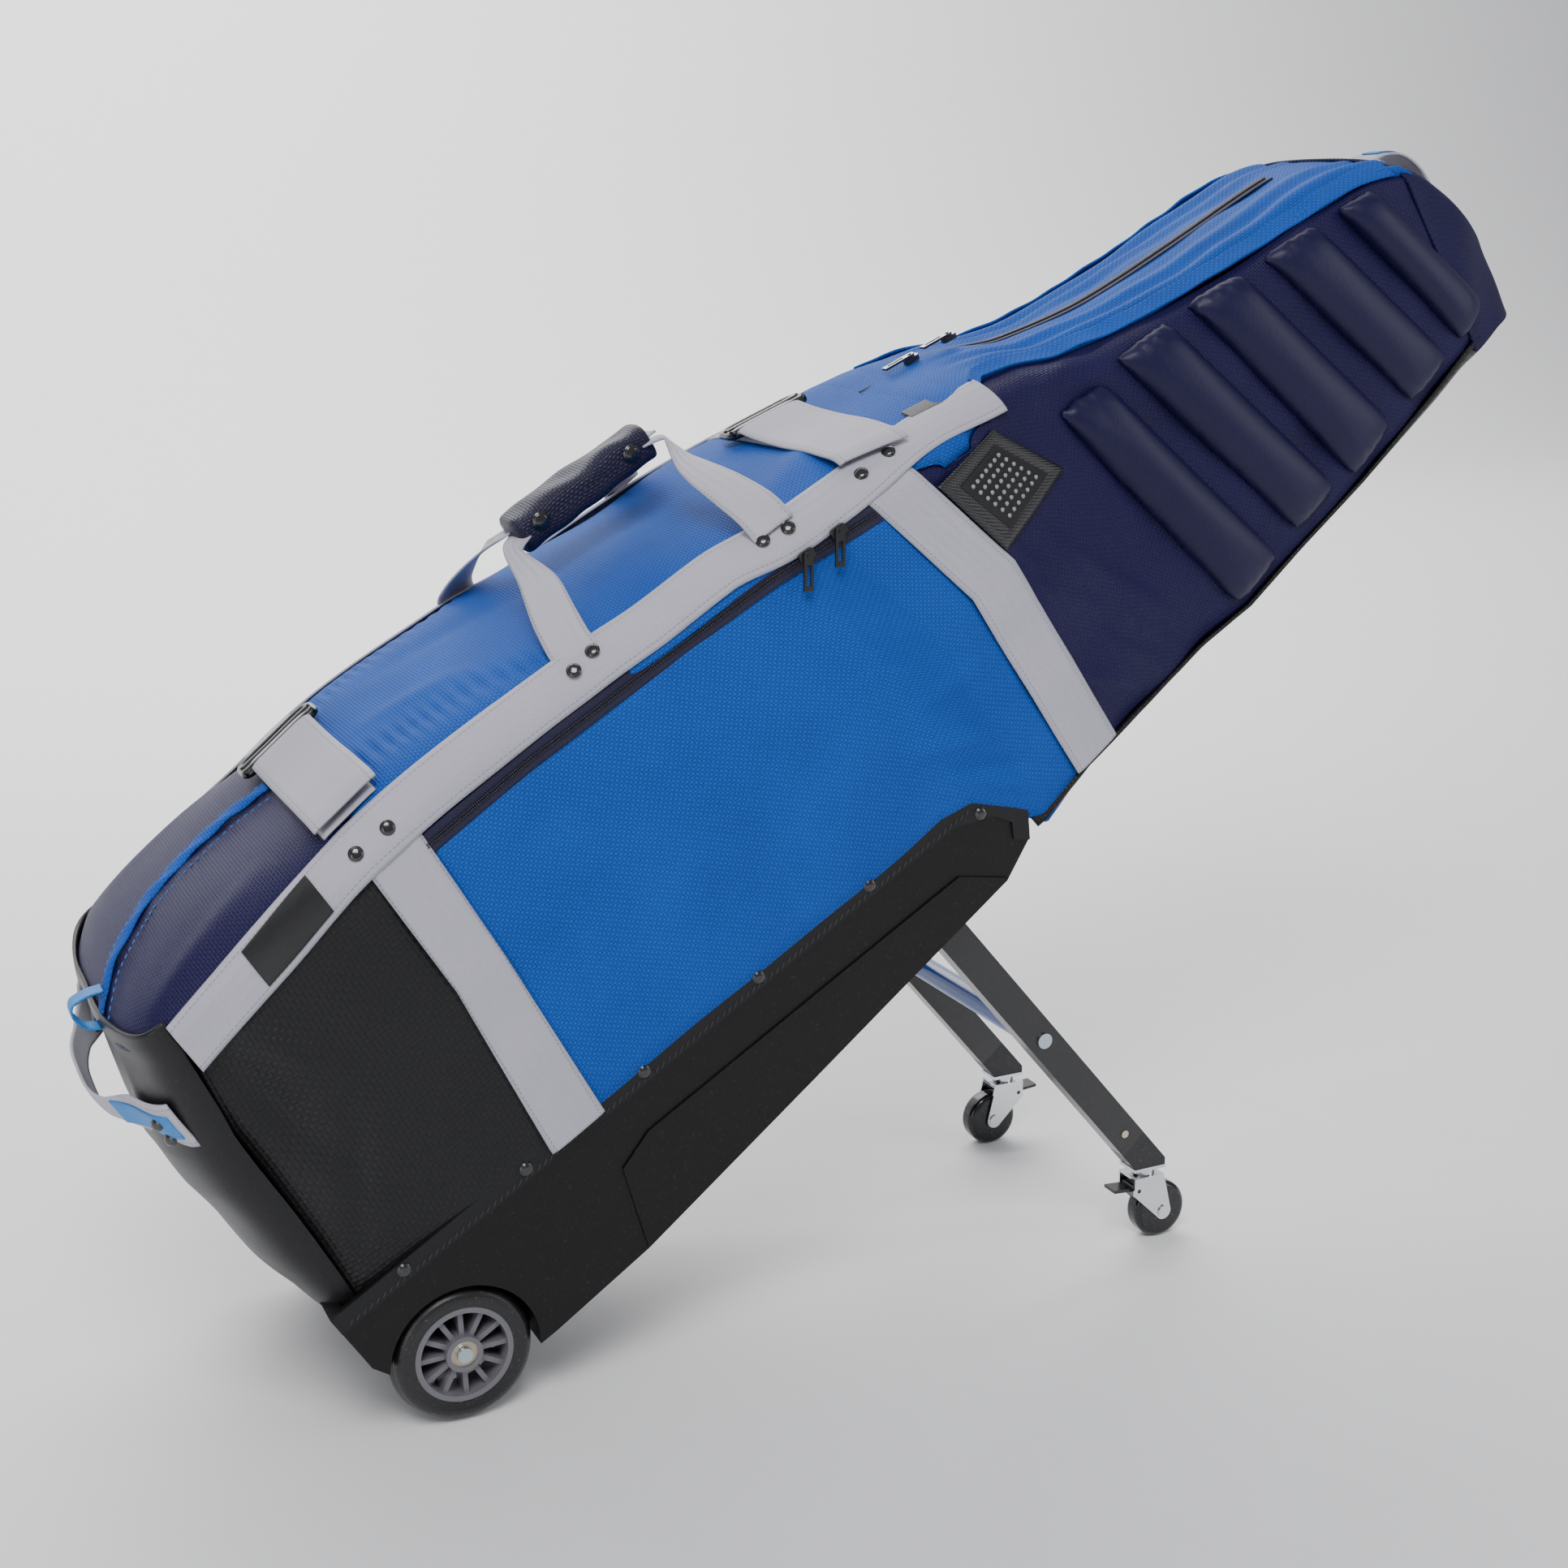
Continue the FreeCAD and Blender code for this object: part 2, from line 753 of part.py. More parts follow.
def back_seam_points(start, end):
    """The seam between the neck's sides and its underside."""
    points = [(start, back_seam_height)]
    for along, half_width, bottom, top in bag_stations:
        if start + 60.0 < along < end:
            points.append((along, bottom + back_seam_margin))
    points.append((end, station_bottom(end) + back_seam_margin))
    return points


far = 260.0
inner_limit = 60.0


def cut_shell(shell, outline, y0=-far, y1=far):
    return shell.common(slab(outline, y0, y1))


def add_panels():
    shell = bag_form(0.0, False).cut(bag_form(-cloth_wall, True))
    shell = shell.cut(slab(base_outline, -far, far))
    seam = panel_seam_height
    start = lower_strap_start + strap_width / 2.0
    floor = flange_height
    foot_end = cut_shell(
        shell, [(-120, floor), (foot_end_cut, floor), (foot_end_cut, seam), (-120, seam)])
    side = [(foot_end_cut, floor), (start, floor), (start, seam), (foot_end_cut, seam)]
    add_bag_part("foot_panels", foot_end, cut_shell(shell, side, inner_limit, far),
                 cut_shell(shell, side, -far, -inner_limit))
    side = [(start, floor), (590, floor), (640, 30), (640, back_seam_height),
            (upper_seam_along, back_seam_height), (upper_seam_along, seam), (start, seam)]
    add_bag_part("side_panel_left", cut_shell(shell, side, inner_limit, far))
    add_bag_part("side_panel_right", cut_shell(shell, side, -far, -inner_limit))
    add_bag_part("shoe_pocket", cut_shell(
        shell, [(-120, seam), (start, seam), (start, 500), (-120, 500)]))
    add_bag_part("front_panel", cut_shell(
        shell, [(start, seam), (upper_seam_along, seam), (upper_seam_along, 500), (start, 500)]))
    end = head_cut
    add_bag_part("neck_opening_panel", cut_shell(
        shell, [(upper_seam_along, seam), (end, neck_seam(end)), (end, 500), (upper_seam_along, 500)]))
    back_seam = back_seam_points(upper_seam_along, end)
    side = back_seam + [(end, neck_seam(end)), (upper_seam_along, seam)]
    add_bag_part("neck_side_panels", cut_shell(shell, side, 30.0, far),
                 cut_shell(shell, side, -far, -30.0))
    add_bag_part("neck_back_panel", cut_shell(
        shell, [(640, back_seam_height), (640, -20), (end, -20)] + back_seam[::-1]))
    add_bag_part("head_cap", cut_shell(
        shell, [(end, -20), (1500, -20), (1500, 500), (end, 500)]))


def neck_roll(index):
    """One padded roll: a four-sided cushion whose outer face is drawn in."""
    start = roll_first + roll_pitch * index
    low = roll_low + roll_low_step * index
    high = roll_high + roll_high_step * index
    outline = [(start + roll_lean, low), (start + roll_lean + roll_length, low + 14.0),
               (start + roll_length, high - 3.0), (start, high)]
    middle_x = sum(point[0] for point in outline) / 4.0
    middle_z = sum(point[1] for point in outline) / 4.0
    smaller = []
    for along, up in outline:
        step_x = roll_inset if along < middle_x else -roll_inset
        step_z = roll_inset if up < middle_z else -roll_inset
        smaller.append((along + step_x, up + step_z))
    widest = max(station_half_width(along) for along, up in outline)
    seat = widest + soft_gap
    wires = [outline_wire(outline, seat), outline_wire(outline, seat + 0.5 * roll_rise),
             outline_wire(smaller, seat + roll_rise)]
    return Part.makeLoft(wires, True, True)


def add_rolls():
    rolls = []
    for index in range(roll_count):
        rolls.extend(both_sides(neck_roll(index)))
    add_bag_part("neck_rolls", *rolls)


# ---- Webbing ----
strap_low = zip_height + zip_tape_half_width + 1.0
strap_join = strap_low + 4.0
upper_strap_outline = [(687, 58), (738, 62), (732, 238), (706, 330), (696, strap_join),
                       (646, strap_join), (658, 330), (681, 240)]


def shoulder_zone(until):
    """The band over the bag's shoulder that the long strap lies in."""
    wires = []
    for along, half_width, bottom, top in bag_stations:
        if along < -10.0 or along > until:
            continue
        outer = half_width + 12.0
        inner = half_width - 40.0
        low = top - 0.11 * (top - bottom) - 3.0
        low = min(low, panel_seam_height + 1.0)
        if along < upper_seam_along:
            low = max(low, strap_low)
        points = [V(along, outer, low), V(along, outer, top + 12.0),
                  V(along, inner, top + 12.0), V(along, inner, low)]
        wires.append(Part.makePolygon(points + points[:1]))
    return Part.makeLoft(wires, True, True)


def add_straps():
    skin = bag_form(soft_gap + webbing_thickness, False).cut(bag_form(soft_gap, False))
    zone = shoulder_zone(800.0)
    long_strap = skin.common(zone)
    lower = [(lower_strap_start, flange_height + 1.0),
             (lower_strap_start + strap_width, flange_height + 1.0),
             (lower_strap_start + strap_width, strap_join), (lower_strap_start, strap_join)]
    cross = [cut_shell(skin, lower, inner_limit, far),
             cut_shell(skin, upper_strap_outline, inner_limit, far)]
    straps = both_sides(long_strap)
    for strap in cross:
        trimmed = strap.cut(zone)
        straps.extend(both_sides(trimmed))
    add_bag_part("body_straps", *straps)
    bands = []
    for start in band_places:
        end = start + band_width
        band = cut_shell(skin, [(start, 300), (end, 300), (end, 500), (start, 500)])
        for solid in band.cut(zone).cut(mirrored(zone)).Solids:
            if solid.CenterOfMass.z > panel_seam_height and abs(solid.CenterOfMass.y) < 60.0:
                bands.append(solid)
    add_bag_part("compression_straps", *bands)


def strap_rivet(along, across, up):
    """A domed cap on the shoulder, its back in the strap's plane."""
    cap = Part.makeCylinder(rivet_head_radius, rivet_head_height, V(0, 0, 0), ACROSS)
    cap.translate(V(along, across, up))
    return cap


def strap_rivets():
    caps = []
    seat = station_half_width(400.0) + 2.0 * soft_gap + webbing_thickness
    for along in strap_rivet_places:
        caps.extend(both_sides(strap_rivet(along, seat, panel_seam_height + 9.0)))
    snap_top = grip_height - 2.0
    for along in (grip_start + 24.0, grip_start + grip_length - 24.0):
        snap = rod(along, snap_top, grip_snap_radius, -grip_half_width - rivet_head_height,
                   -grip_half_width)
        caps.append(snap)
    return caps


# ---- Carry handle, end handles and buckles ----
def handle_foot(along):
    """Height just above the long strap, where a handle strap is sewn down."""
    fall = handle_fall * (station_top(along) - station_bottom(along))
    return station_top(along) - fall + handle_foot_lift + webbing_thickness


def carry_strap(side):
    """One webbing loop: up from the shoulder, through the grip and down again."""
    end = grip_start + grip_length
    run_low = grip_height - side * (webbing_thickness + soft_gap) / 2.0 - webbing_thickness / 2.0
    run_high = run_low + webbing_thickness
    strap = box(grip_start - grip_tail, end + grip_tail, -handle_half_inside,
                handle_half_inside, run_low, run_high)
    middle = grip_start + grip_length / 2.0
    for along in (handle_start, handle_start + handle_spread):
        outer = grip_start - grip_tail if along < middle else end + 2.0
        shoulder = station_half_width(along) - handle_inset
        left = along - handle_half_foot
        right = along + handle_half_foot
        low = outline_wire(
            [(left, handle_foot(left)), (right, handle_foot(right)),
             (right, handle_foot(right) + webbing_thickness),
             (left, handle_foot(left) + webbing_thickness)], side * shoulder)
        high = outline_wire(
            [(outer, run_low), (outer + grip_tail - 2.0, run_low),
             (outer + grip_tail - 2.0, run_high), (outer, run_high)],
            side * handle_half_inside)
        strap = strap.fuse(Part.makeLoft([low, high], True, True))
    return strap


def foot_handle():
    """A flat strap standing off the foot panel."""
    foot = bag_stations[0][0]
    seat = foot - soft_gap
    front = foot - foot_handle_stand
    back = front + foot_handle_thickness
    bend = foot_handle_half - foot_handle_slope
    outline = [(-foot_handle_half, seat), (-foot_handle_half, seat - 2.0), (-bend, front),
               (bend, front), (foot_handle_half, seat - 2.0), (foot_handle_half, seat),
               (foot_handle_half - 6.0, seat), (bend - 2.0, back), (2.0 - bend, back),
               (6.0 - foot_handle_half, seat)]
    points = [V(along, across, foot_handle_low) for across, along in outline]
    face = Part.Face(Part.makePolygon(points + points[:1]))
    return face.extrude(V(0, 0, foot_handle_width))


def head_handle():
    """A strap from the neck's end over the head and down its far face."""
    start, crest, tail = head_handle_places
    top = station_top(crest)
    rise = [(start, station_top(start) - 4.0), (start + 8.0, station_top(start + 8.0) + 16.0),
            (crest, top + head_handle_rise), (tail, top + 6.0), (tail, head_handle_low),
            (tail - 3.5, head_handle_low), (tail - 3.5, top + 4.0),
            (crest - 1.0, top + head_handle_rise - 4.0),
            (start + 11.0, station_top(start + 11.0) + 12.0),
            (start + 3.0, station_top(start + 3.0) - 4.0)]
    strap = slab(rise, -head_handle_half, head_handle_half).cut(bag_form(soft_gap, False))
    return max(strap.Solids, key=lambda solid: solid.Volume)


def add_handles():
    end = grip_start + grip_length
    grip = box(grip_start, end, -grip_half_width, grip_half_width,
               grip_height - grip_half_height, grip_height + grip_half_height)
    slot = box(grip_start, end, -grip_slot_half_width, grip_slot_half_width,
               grip_height - grip_slot_half_height, grip_height + grip_slot_half_height)
    lengthwise = [edge for edge in grip.Edges if abs(edge.tangentAt(0).x) > 0.9]
    add_bag_part("handle_grip", grip.makeFillet(10.0, lengthwise).cut(slot))
    add_bag_part("carry_webbing", carry_strap(1.0), carry_strap(-1.0))
    add_bag_part("end_handles", foot_handle(), head_handle())


def buckle(along):
    """A flat frame with two slots, laid along the slope of the bag's top."""
    half = buckle_length / 2.0
    start_top = station_top(along - half)
    slope = (station_top(along + half) - start_top) / buckle_length
    lift = 0.0
    for place, half_width, bottom, top in bag_stations:
        if abs(place - along) < half:
            lift = max(lift, top - start_top - slope * (place - along + half))
    frame = box(-half, half, buckle_across, buckle_across + buckle_width, 0.0, buckle_height)
    slot_width = (buckle_width - 3.0 * buckle_bar) / 2.0
    for index in range(2):
        y = buckle_across + buckle_bar + index * (slot_width + buckle_bar)
        frame = frame.cut(box(-half + buckle_bar, half - buckle_bar, y, y + slot_width,
                              -1.0, buckle_height + 1.0))
    frame.rotate(V(0, 0, 0), ACROSS, -math.degrees(math.atan(slope)))
    seat = start_top + slope * half + lift + webbing_thickness + 3.0 * soft_gap
    frame.translate(V(along, 0, seat))
    return frame


def add_buckles():
    add_bag_part("compression_buckles", buckle(lower_buckle_along), buckle(upper_buckle_along))


def add_labels():
    start, end = strap_label_places
    seat = station_half_width(end) + 3.0 * soft_gap + webbing_thickness
    low = panel_seam_height + strap_label_lift
    strap_label = box(start, end, -seat - label_thickness, -seat, low, low + strap_label_width)
    skin = bag_form(soft_gap + patch_thickness, False).cut(bag_form(soft_gap, False))
    patch = skin.common(slab(patch_outline, -far, 0.0))
    patch = patch.cut(slab(upper_strap_outline, -far, far))
    add_bag_part("labels", strap_label, patch)


# ---- Zips: tape, sliders and their pulls ----
top_zip_start_up = station_top(top_slider_places[0])
top_zip_end_up = station_top(top_zip_end)
top_zip_slope = math.degrees(math.atan2(top_zip_end_up - top_zip_start_up,
                                        top_zip_end - top_slider_places[0]))
side_seat = station_half_width(400.0) + soft_gap + zip_tape_thickness + soft_gap
top_slider_lift = 2.0 * soft_gap + zip_tape_thickness
slider_body_top = slider_height + slider_post_height


def slider():
    """A slider lying on the XY plane about its origin, its post upwards."""
    body = box(-slider_length / 2.0, slider_length / 2.0, -slider_width / 2.0,
               slider_width / 2.0, 0.0, slider_height)
    corners = [edge for edge in body.Edges if abs(edge.tangentAt(0).z) > 0.9]
    body = body.makeFillet(3.0, corners)
    pin = post(0, 0, slider_post_radius, slider_height, slider_body_top)
    return body.fuse(pin)


def pull():
    """A pull tab on the slider's post, hanging towards -X."""
    low = slider_height + soft_gap
    half = pull_width / 2.0
    tab = box(-pull_length, 0.0, -half, half, low, low + pull_thickness)
    head = post(0, 0, half, low, low + pull_thickness)
    window = box(-pull_length + 4.0, -half - 3.0, -half + 2.2, half - 2.2, low,
                 low + pull_thickness)
    tab = tab.fuse(head).cut(window)
    return tab.cut(post(0, 0, slider_post_radius + running_clearance, low,
                        low + pull_thickness)).removeSplitter()


def on_side_zip(shape, along, turn):
    """Stands a slider-frame shape on the right side of the bag."""
    placed = shape.copy()
    placed.rotate(V(0, 0, 0), V(0, 0, 1), turn)
    placed.rotate(V(0, 0, 0), V(1, 0, 0), 90.0)
    placed.translate(V(along, -side_seat, zip_height))
    return placed


def on_top_zip(shape, along):
    placed = shape.copy()
    placed.rotate(V(0, 0, 0), ACROSS, -top_zip_slope)
    step = along - top_slider_places[0]
    up = top_zip_start_up + step * math.tan(math.radians(top_zip_slope))
    placed.translate(V(along, 0.0, up + top_slider_lift))
    return placed


def add_zips():
    inner = station_half_width(400.0) + soft_gap
    tape = box(side_zip_start, side_zip_end, inner, inner + zip_tape_thickness,
               zip_height - zip_tape_half_width, zip_height + zip_tape_half_width)
    skin = bag_form(soft_gap + zip_tape_thickness, False).cut(bag_form(soft_gap, False))
    ridge = slab([(742, 340), (1200, 290), (1200, 400), (742, 420)], -7.0, 7.0)
    add_bag_part("zip_tapes", *(both_sides(tape) + [skin.common(ridge)]))
    for letter, along in zip(("low", "high"), side_slider_places):
        body = on_side_zip(slider(), along, 0.0)
        tab = on_side_zip(pull(), along, 90.0 - bag_tilt)
        add_bag_part("side_slider_right_" + letter, body)
        add_bag_part("side_slider_left_" + letter, mirrored(body))
        add_bag_part("side_pull_right_" + letter, tab)
        add_bag_part("side_pull_left_" + letter, mirrored(tab))
    for letter, along in zip(("low", "high"), top_slider_places):
        add_bag_part("top_slider_" + letter, on_top_zip(slider(), along))
        add_bag_part("top_pull_" + letter, on_top_zip(pull(), along))


# ---- Assembly ----
add_running_gear()
base_rivets = add_base()
leg_hinge_parts()
add_legs()
add_casters()
add_panels()
add_rolls()
add_straps()
add_bag_part("cover_rivets", *(base_rivets + strap_rivets()))
add_handles()
add_buckles()
add_labels()
add_zips()

everything = Part.makeCompound([solid for group in parts.values() for solid in group])
bounds = everything.optimalBoundingBox()
shift = V(-(bounds.XMin + bounds.XMax) / 2.0, -(bounds.YMin + bounds.YMax) / 2.0, -bounds.ZMin)

os.makedirs("parts", exist_ok=True)
for name, solids in parts.items():
    shape = Part.makeCompound(solids) if len(solids) > 1 else solids[0]
    shape = shape.copy()
    shape.translate(shift)
    shape.exportStep("parts/" + name + ".step")

print(len(parts), "nodes", sum(len(group) for group in parts.values()), "solids")
print(json.dumps({
    "shift": list(shift),
    "hinge": list(hinge_point + shift),
    "axle": list(V(0, 0, wheel_radius) + shift),
    "kingpin": list(V(kingpin_x, leg_middle, 0) + shift),
    "size": [bounds.XLength, bounds.YLength, bounds.ZLength],
    "side_sliders": [list(point_in_floor_frame(along, side_seat, zip_height) + shift)
                     for along in side_slider_places],
    "top_sliders": [list(point_in_floor_frame(
        along, 0.0, top_zip_start_up + (along - top_slider_places[0])
        * math.tan(math.radians(top_zip_slope)) + top_slider_lift) + shift)
        for along in top_slider_places],
    "top_zip_slope": top_zip_slope,
}))
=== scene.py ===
import math

import bpy
import numpy as np
from mathutils import Matrix, Vector


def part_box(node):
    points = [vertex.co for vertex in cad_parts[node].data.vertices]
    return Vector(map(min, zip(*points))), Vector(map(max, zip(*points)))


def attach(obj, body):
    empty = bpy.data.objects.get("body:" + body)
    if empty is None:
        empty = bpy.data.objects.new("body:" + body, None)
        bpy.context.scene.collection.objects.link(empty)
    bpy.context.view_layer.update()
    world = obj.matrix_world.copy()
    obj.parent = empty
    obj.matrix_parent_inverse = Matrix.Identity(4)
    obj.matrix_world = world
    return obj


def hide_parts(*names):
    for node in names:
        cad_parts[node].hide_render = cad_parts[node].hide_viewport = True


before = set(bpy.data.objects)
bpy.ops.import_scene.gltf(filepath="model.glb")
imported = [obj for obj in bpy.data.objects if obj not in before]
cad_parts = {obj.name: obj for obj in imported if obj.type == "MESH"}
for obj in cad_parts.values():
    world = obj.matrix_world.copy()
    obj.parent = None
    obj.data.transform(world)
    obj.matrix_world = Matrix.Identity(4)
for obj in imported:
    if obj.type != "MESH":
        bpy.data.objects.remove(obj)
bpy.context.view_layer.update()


# ---- Main wheels ----
# Two moulded wheels with a rubber tyre cast on a spoked nylon hub, each on a
# pair of ball bearings and held on the fixed axle by a large zinc-plated screw.
tyre_low, tyre_high = (np.array(corner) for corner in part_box("main_tyre_right"))
axle_place = (tyre_low + tyre_high) / 2.0


def add(tree, kind, inputs=None, **settings):
    """One shader node: its settings, then each input as a number or a linked socket."""
    made = tree.nodes.new("ShaderNode" + kind)
    for name, value in settings.items():
        setattr(made, name, value)
    for name, value in (inputs or {}).items():
        if isinstance(value, bpy.types.NodeSocket):
            tree.links.new(value, made.inputs[name])
        else:
            made.inputs[name].default_value = value
    return made


def maths(tree, operation, *values):
    """A Math node on two or three values, giving its result socket."""
    return add(tree, "Math", dict(enumerate(values)), operation=operation).outputs[0]


def between(tree, share, first, second):
    """A colour mixed from the first to the second by a share of 0 to 1."""
    mix = add(tree, "Mix", {"Factor": share}, data_type="RGBA")
    for socket, value in ((mix.inputs[6], first), (mix.inputs[7], second)):
        if isinstance(value, bpy.types.NodeSocket):
            tree.links.new(value, socket)
        else:
            socket.default_value = (*value, 1.0)
    return mix.outputs[2]


def new_group(name, inputs, outputs):
    """A shader node group with named number inputs and outputs."""
    tree = bpy.data.node_groups.new(name, "ShaderNodeTree")
    for label, value in inputs.items():
        socket = tree.interface.new_socket(label, in_out="INPUT", socket_type="NodeSocketFloat")
        socket.default_value = value
    for label in outputs:
        tree.interface.new_socket(label, in_out="OUTPUT", socket_type="NodeSocketFloat")
    start = tree.nodes.new("NodeGroupInput")
    end = tree.nodes.new("NodeGroupOutput")
    return tree, start.outputs, end.inputs


def place_group(tree, group, values):
    """The group placed in a material with its own values, giving its outputs."""
    made = tree.nodes.new("ShaderNodeGroup")
    made.node_tree = group
    for label, value in values.items():
        made.inputs[label].default_value = value
    return made.outputs


# Fine moulded grain: small noise as height, and large slow noise as a change of tone.
grain, given, result = new_group("Fine grain", {"Size": 0.001}, ("Height", "Tone", "Speck"))
place = add(grain, "TexCoord").outputs["Object"]
scale = maths(grain, "DIVIDE", 1.0, given["Size"])
small = add(grain, "TexNoise", {"Vector": place, "Scale": scale, "Detail": 3.0})
large = add(grain, "TexNoise", {"Vector": place, "Scale": 14.0, "Detail": 4.0})
speck = add(grain, "TexNoise", {"Vector": place, "Scale": 420.0, "Detail": 2.0})
grain.links.new(small.outputs[0], result["Height"])
grain.links.new(large.outputs[0], result["Tone"])
grain.links.new(maths(grain, "SMOOTH_MIN", 1.0, maths(
    grain, "MAXIMUM", 0.0, maths(grain, "MULTIPLY_ADD", speck.outputs[0], 9.0, -5.6)), 0.1),
    result["Speck"])


def hard_finish(name, colour, lighter, rough, grain_size, depth, metallic=0.0, coat=0.0,
                rough_change=0.12, dust=0.25, gloss=0.5):
    """Plastic, paint or metal: grain as bump, slow change of tone, and light dust."""
    material = bpy.data.materials.new(name)
    material.use_nodes = True
    tree = material.node_tree
    shader = tree.nodes["Principled BSDF"]
    seen = place_group(tree, grain, {"Size": grain_size})
    tone = between(tree, seen["Tone"], colour, lighter)
    dusty = maths(tree, "MULTIPLY", seen["Speck"], dust)
    tree.links.new(between(tree, dusty, tone, (0.22, 0.21, 0.2)), shader.inputs["Base Color"])
    spread = maths(tree, "MULTIPLY_ADD", seen["Tone"], rough_change, rough - rough_change / 2.0)
    tree.links.new(spread, shader.inputs["Roughness"])
    bump = add(tree, "Bump", {"Height": seen["Height"], "Strength": 0.6, "Distance": depth})
    tree.links.new(bump.outputs[0], shader.inputs["Normal"])
    shader.inputs["Metallic"].default_value = metallic
    shader.inputs["Coat Weight"].default_value = coat
    shader.inputs["Coat Roughness"].default_value = 0.12
    shader.inputs["Specular IOR Level"].default_value = gloss
    return material


def dress(material, *nodes):
    """Gives CAD nodes a finish through their own material slots."""
    for name in nodes:
        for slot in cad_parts[name].material_slots:
            slot.material = material


def ring_finish(name, base, ring_colour, rough, centre, steps, metallic=0.0):
    """A turned or cast ring: fine circles about the axle as bump."""
    material = hard_finish(name, base, ring_colour, rough, 0.0009, 0.00008, metallic)
    tree = material.node_tree
    shader = tree.nodes["Principled BSDF"]
    place = add(tree, "TexCoord").outputs["Object"]
    offset = add(tree, "VectorMath", {0: place, 1: tuple(centre)}, operation="SUBTRACT")
    flat = add(tree, "VectorMath", {0: offset.outputs[0], 1: (1.0, 0.0, 1.0)},
               operation="MULTIPLY")
    reach = add(tree, "VectorMath", {0: flat.outputs[0]}, operation="LENGTH").outputs["Value"]
    wave = maths(tree, "SINE", maths(tree, "MULTIPLY", reach, steps))
    old = shader.inputs["Normal"].links[0].from_node
    bump = add(tree, "Bump", {"Height": wave, "Strength": 0.35, "Distance": 0.00012,
                              "Normal": old.outputs[0]})
    tree.links.new(bump.outputs[0], shader.inputs["Normal"])
    return material


dress(ring_finish("Cast rubber", (0.006, 0.006, 0.007), (0.014, 0.014, 0.015), 0.36,
                  axle_place, 2600.0), "main_tyre_left", "main_tyre_right")
dress(hard_finish("Hub nylon", (0.115, 0.112, 0.13), (0.15, 0.147, 0.165), 0.42, 0.0006,
                  0.00006, dust=0.1), "main_hub_left", "main_hub_right")
dress(ring_finish("Bearing steel", (0.42, 0.36, 0.27), (0.55, 0.5, 0.4), 0.3, axle_place,
                  5200.0, 1.0), "main_bearings_left", "main_bearings_right")
zinc = hard_finish("Zinc plate", (0.42, 0.52, 0.62), (0.6, 0.66, 0.72), 0.28, 0.0007, 0.00003,
                   1.0, dust=0.05)
dress(zinc, "axle_screws", "leg_cross_screws", "main_axle")


# ---- Moulded base ----
# One vacuum-formed shell of black plastic: side walls with a raised blister, wheel
# arches and a recess for the legs. Its top flange is riveted through a bound strip.
dress(hard_finish("Base plastic", (0.002, 0.002, 0.0022), (0.0035, 0.0035, 0.004), 0.4,
                  0.0011, 0.00007, dust=0.06, gloss=0.3), "base_moulding")
dress(hard_finish("Stop plastic", (0.008, 0.008, 0.009), (0.012, 0.012, 0.013), 0.4, 0.0009,
                  0.00006), "leg_stops", "leg_end_plugs")


# ---- Folding legs ----
# A pair of painted flat steel tubes on a pivot rod at the base's nose, tied by one
# blue cross tube with a zinc screw at each end, and closed by plugs over the casters.
dress(hard_finish("Leg paint", (0.007, 0.007, 0.008), (0.011, 0.011, 0.012), 0.3, 0.0008,
                  0.00004, coat=0.3, dust=0.08), "leg_left", "leg_right")
dress(hard_finish("Cross tube paint", (0.006, 0.06, 0.3), (0.01, 0.09, 0.4), 0.3, 0.0008,
                  0.00004, coat=0.4, dust=0.05), "leg_cross_tube")
dress(hard_finish("Bright rivet", (0.55, 0.47, 0.36), (0.68, 0.6, 0.48), 0.26, 0.0006,
                  0.00003, 1.0, dust=0.05), "leg_rivets")
dress(hard_finish("Pivot steel", (0.3, 0.3, 0.31), (0.4, 0.4, 0.41), 0.35, 0.0007, 0.00004,
                  1.0), "leg_pivot_rod", "leg_pivot_brackets", "leg_pivot_sleeve")


# ---- Casters ----
# Swivel casters with a pressed, chromed fork riveted to the leg's plate, a hard black
# wheel on a plain axle, and a brake tab that is pressed down onto the wheel.
dress(hard_finish("Chrome", (0.62, 0.63, 0.66), (0.74, 0.75, 0.78), 0.11, 0.002, 0.00003,
                  1.0, rough_change=0.06, dust=0.02), "caster_plates", "caster_fork_left",
      "caster_fork_right", "caster_axle_left", "caster_axle_right")
for side in ("left", "right"):
    low, high = (np.array(corner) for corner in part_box("caster_wheel_" + side))
    wheel_finish = ring_finish("Caster wheel " + side, (0.005, 0.005, 0.006),
                               (0.009, 0.009, 0.01), 0.16, (low + high) / 2.0, 2200.0)
    dress(wheel_finish, "caster_wheel_" + side)
dress(hard_finish("Brake tab", (0.008, 0.008, 0.009), (0.014, 0.014, 0.015), 0.22, 0.0008,
                  0.00003), "brake_lever_left", "brake_lever_right")


# ---- Form of the sewn body ----
# Heavy nylon over foam, sewn as one long body: a wide foot, a narrower neck and a
# rounded head. Its sections are flat-sided with a rounded shoulder.
TILT = math.radians(32.0)
body_places = np.array([-64.0, -42, -10, 60, 150, 250, 360, 440, 570, 625, 700, 770, 830,
                        880, 980, 1080, 1180, 1245, 1285, 1312, 1330])
body_halves = np.array([118.0, 144, 157, 161, 163, 163, 163, 163, 163, 163, 152, 138, 122,
                        113, 113, 113, 113, 110, 100, 84, 60])
body_lows = np.array([105.0, 105, 105, 105, 105, 105, 105, 105, 105, 66, 48, 46, 44, 40,
                      50, 64, 80, 90, 90, 86, 92])
body_tops = np.array([346.0, 376, 395, 406, 414, 425, 422, 411, 405, 399, 388, 378, 366,
                      346, 325, 318, 313, 297, 248, 188, 132])


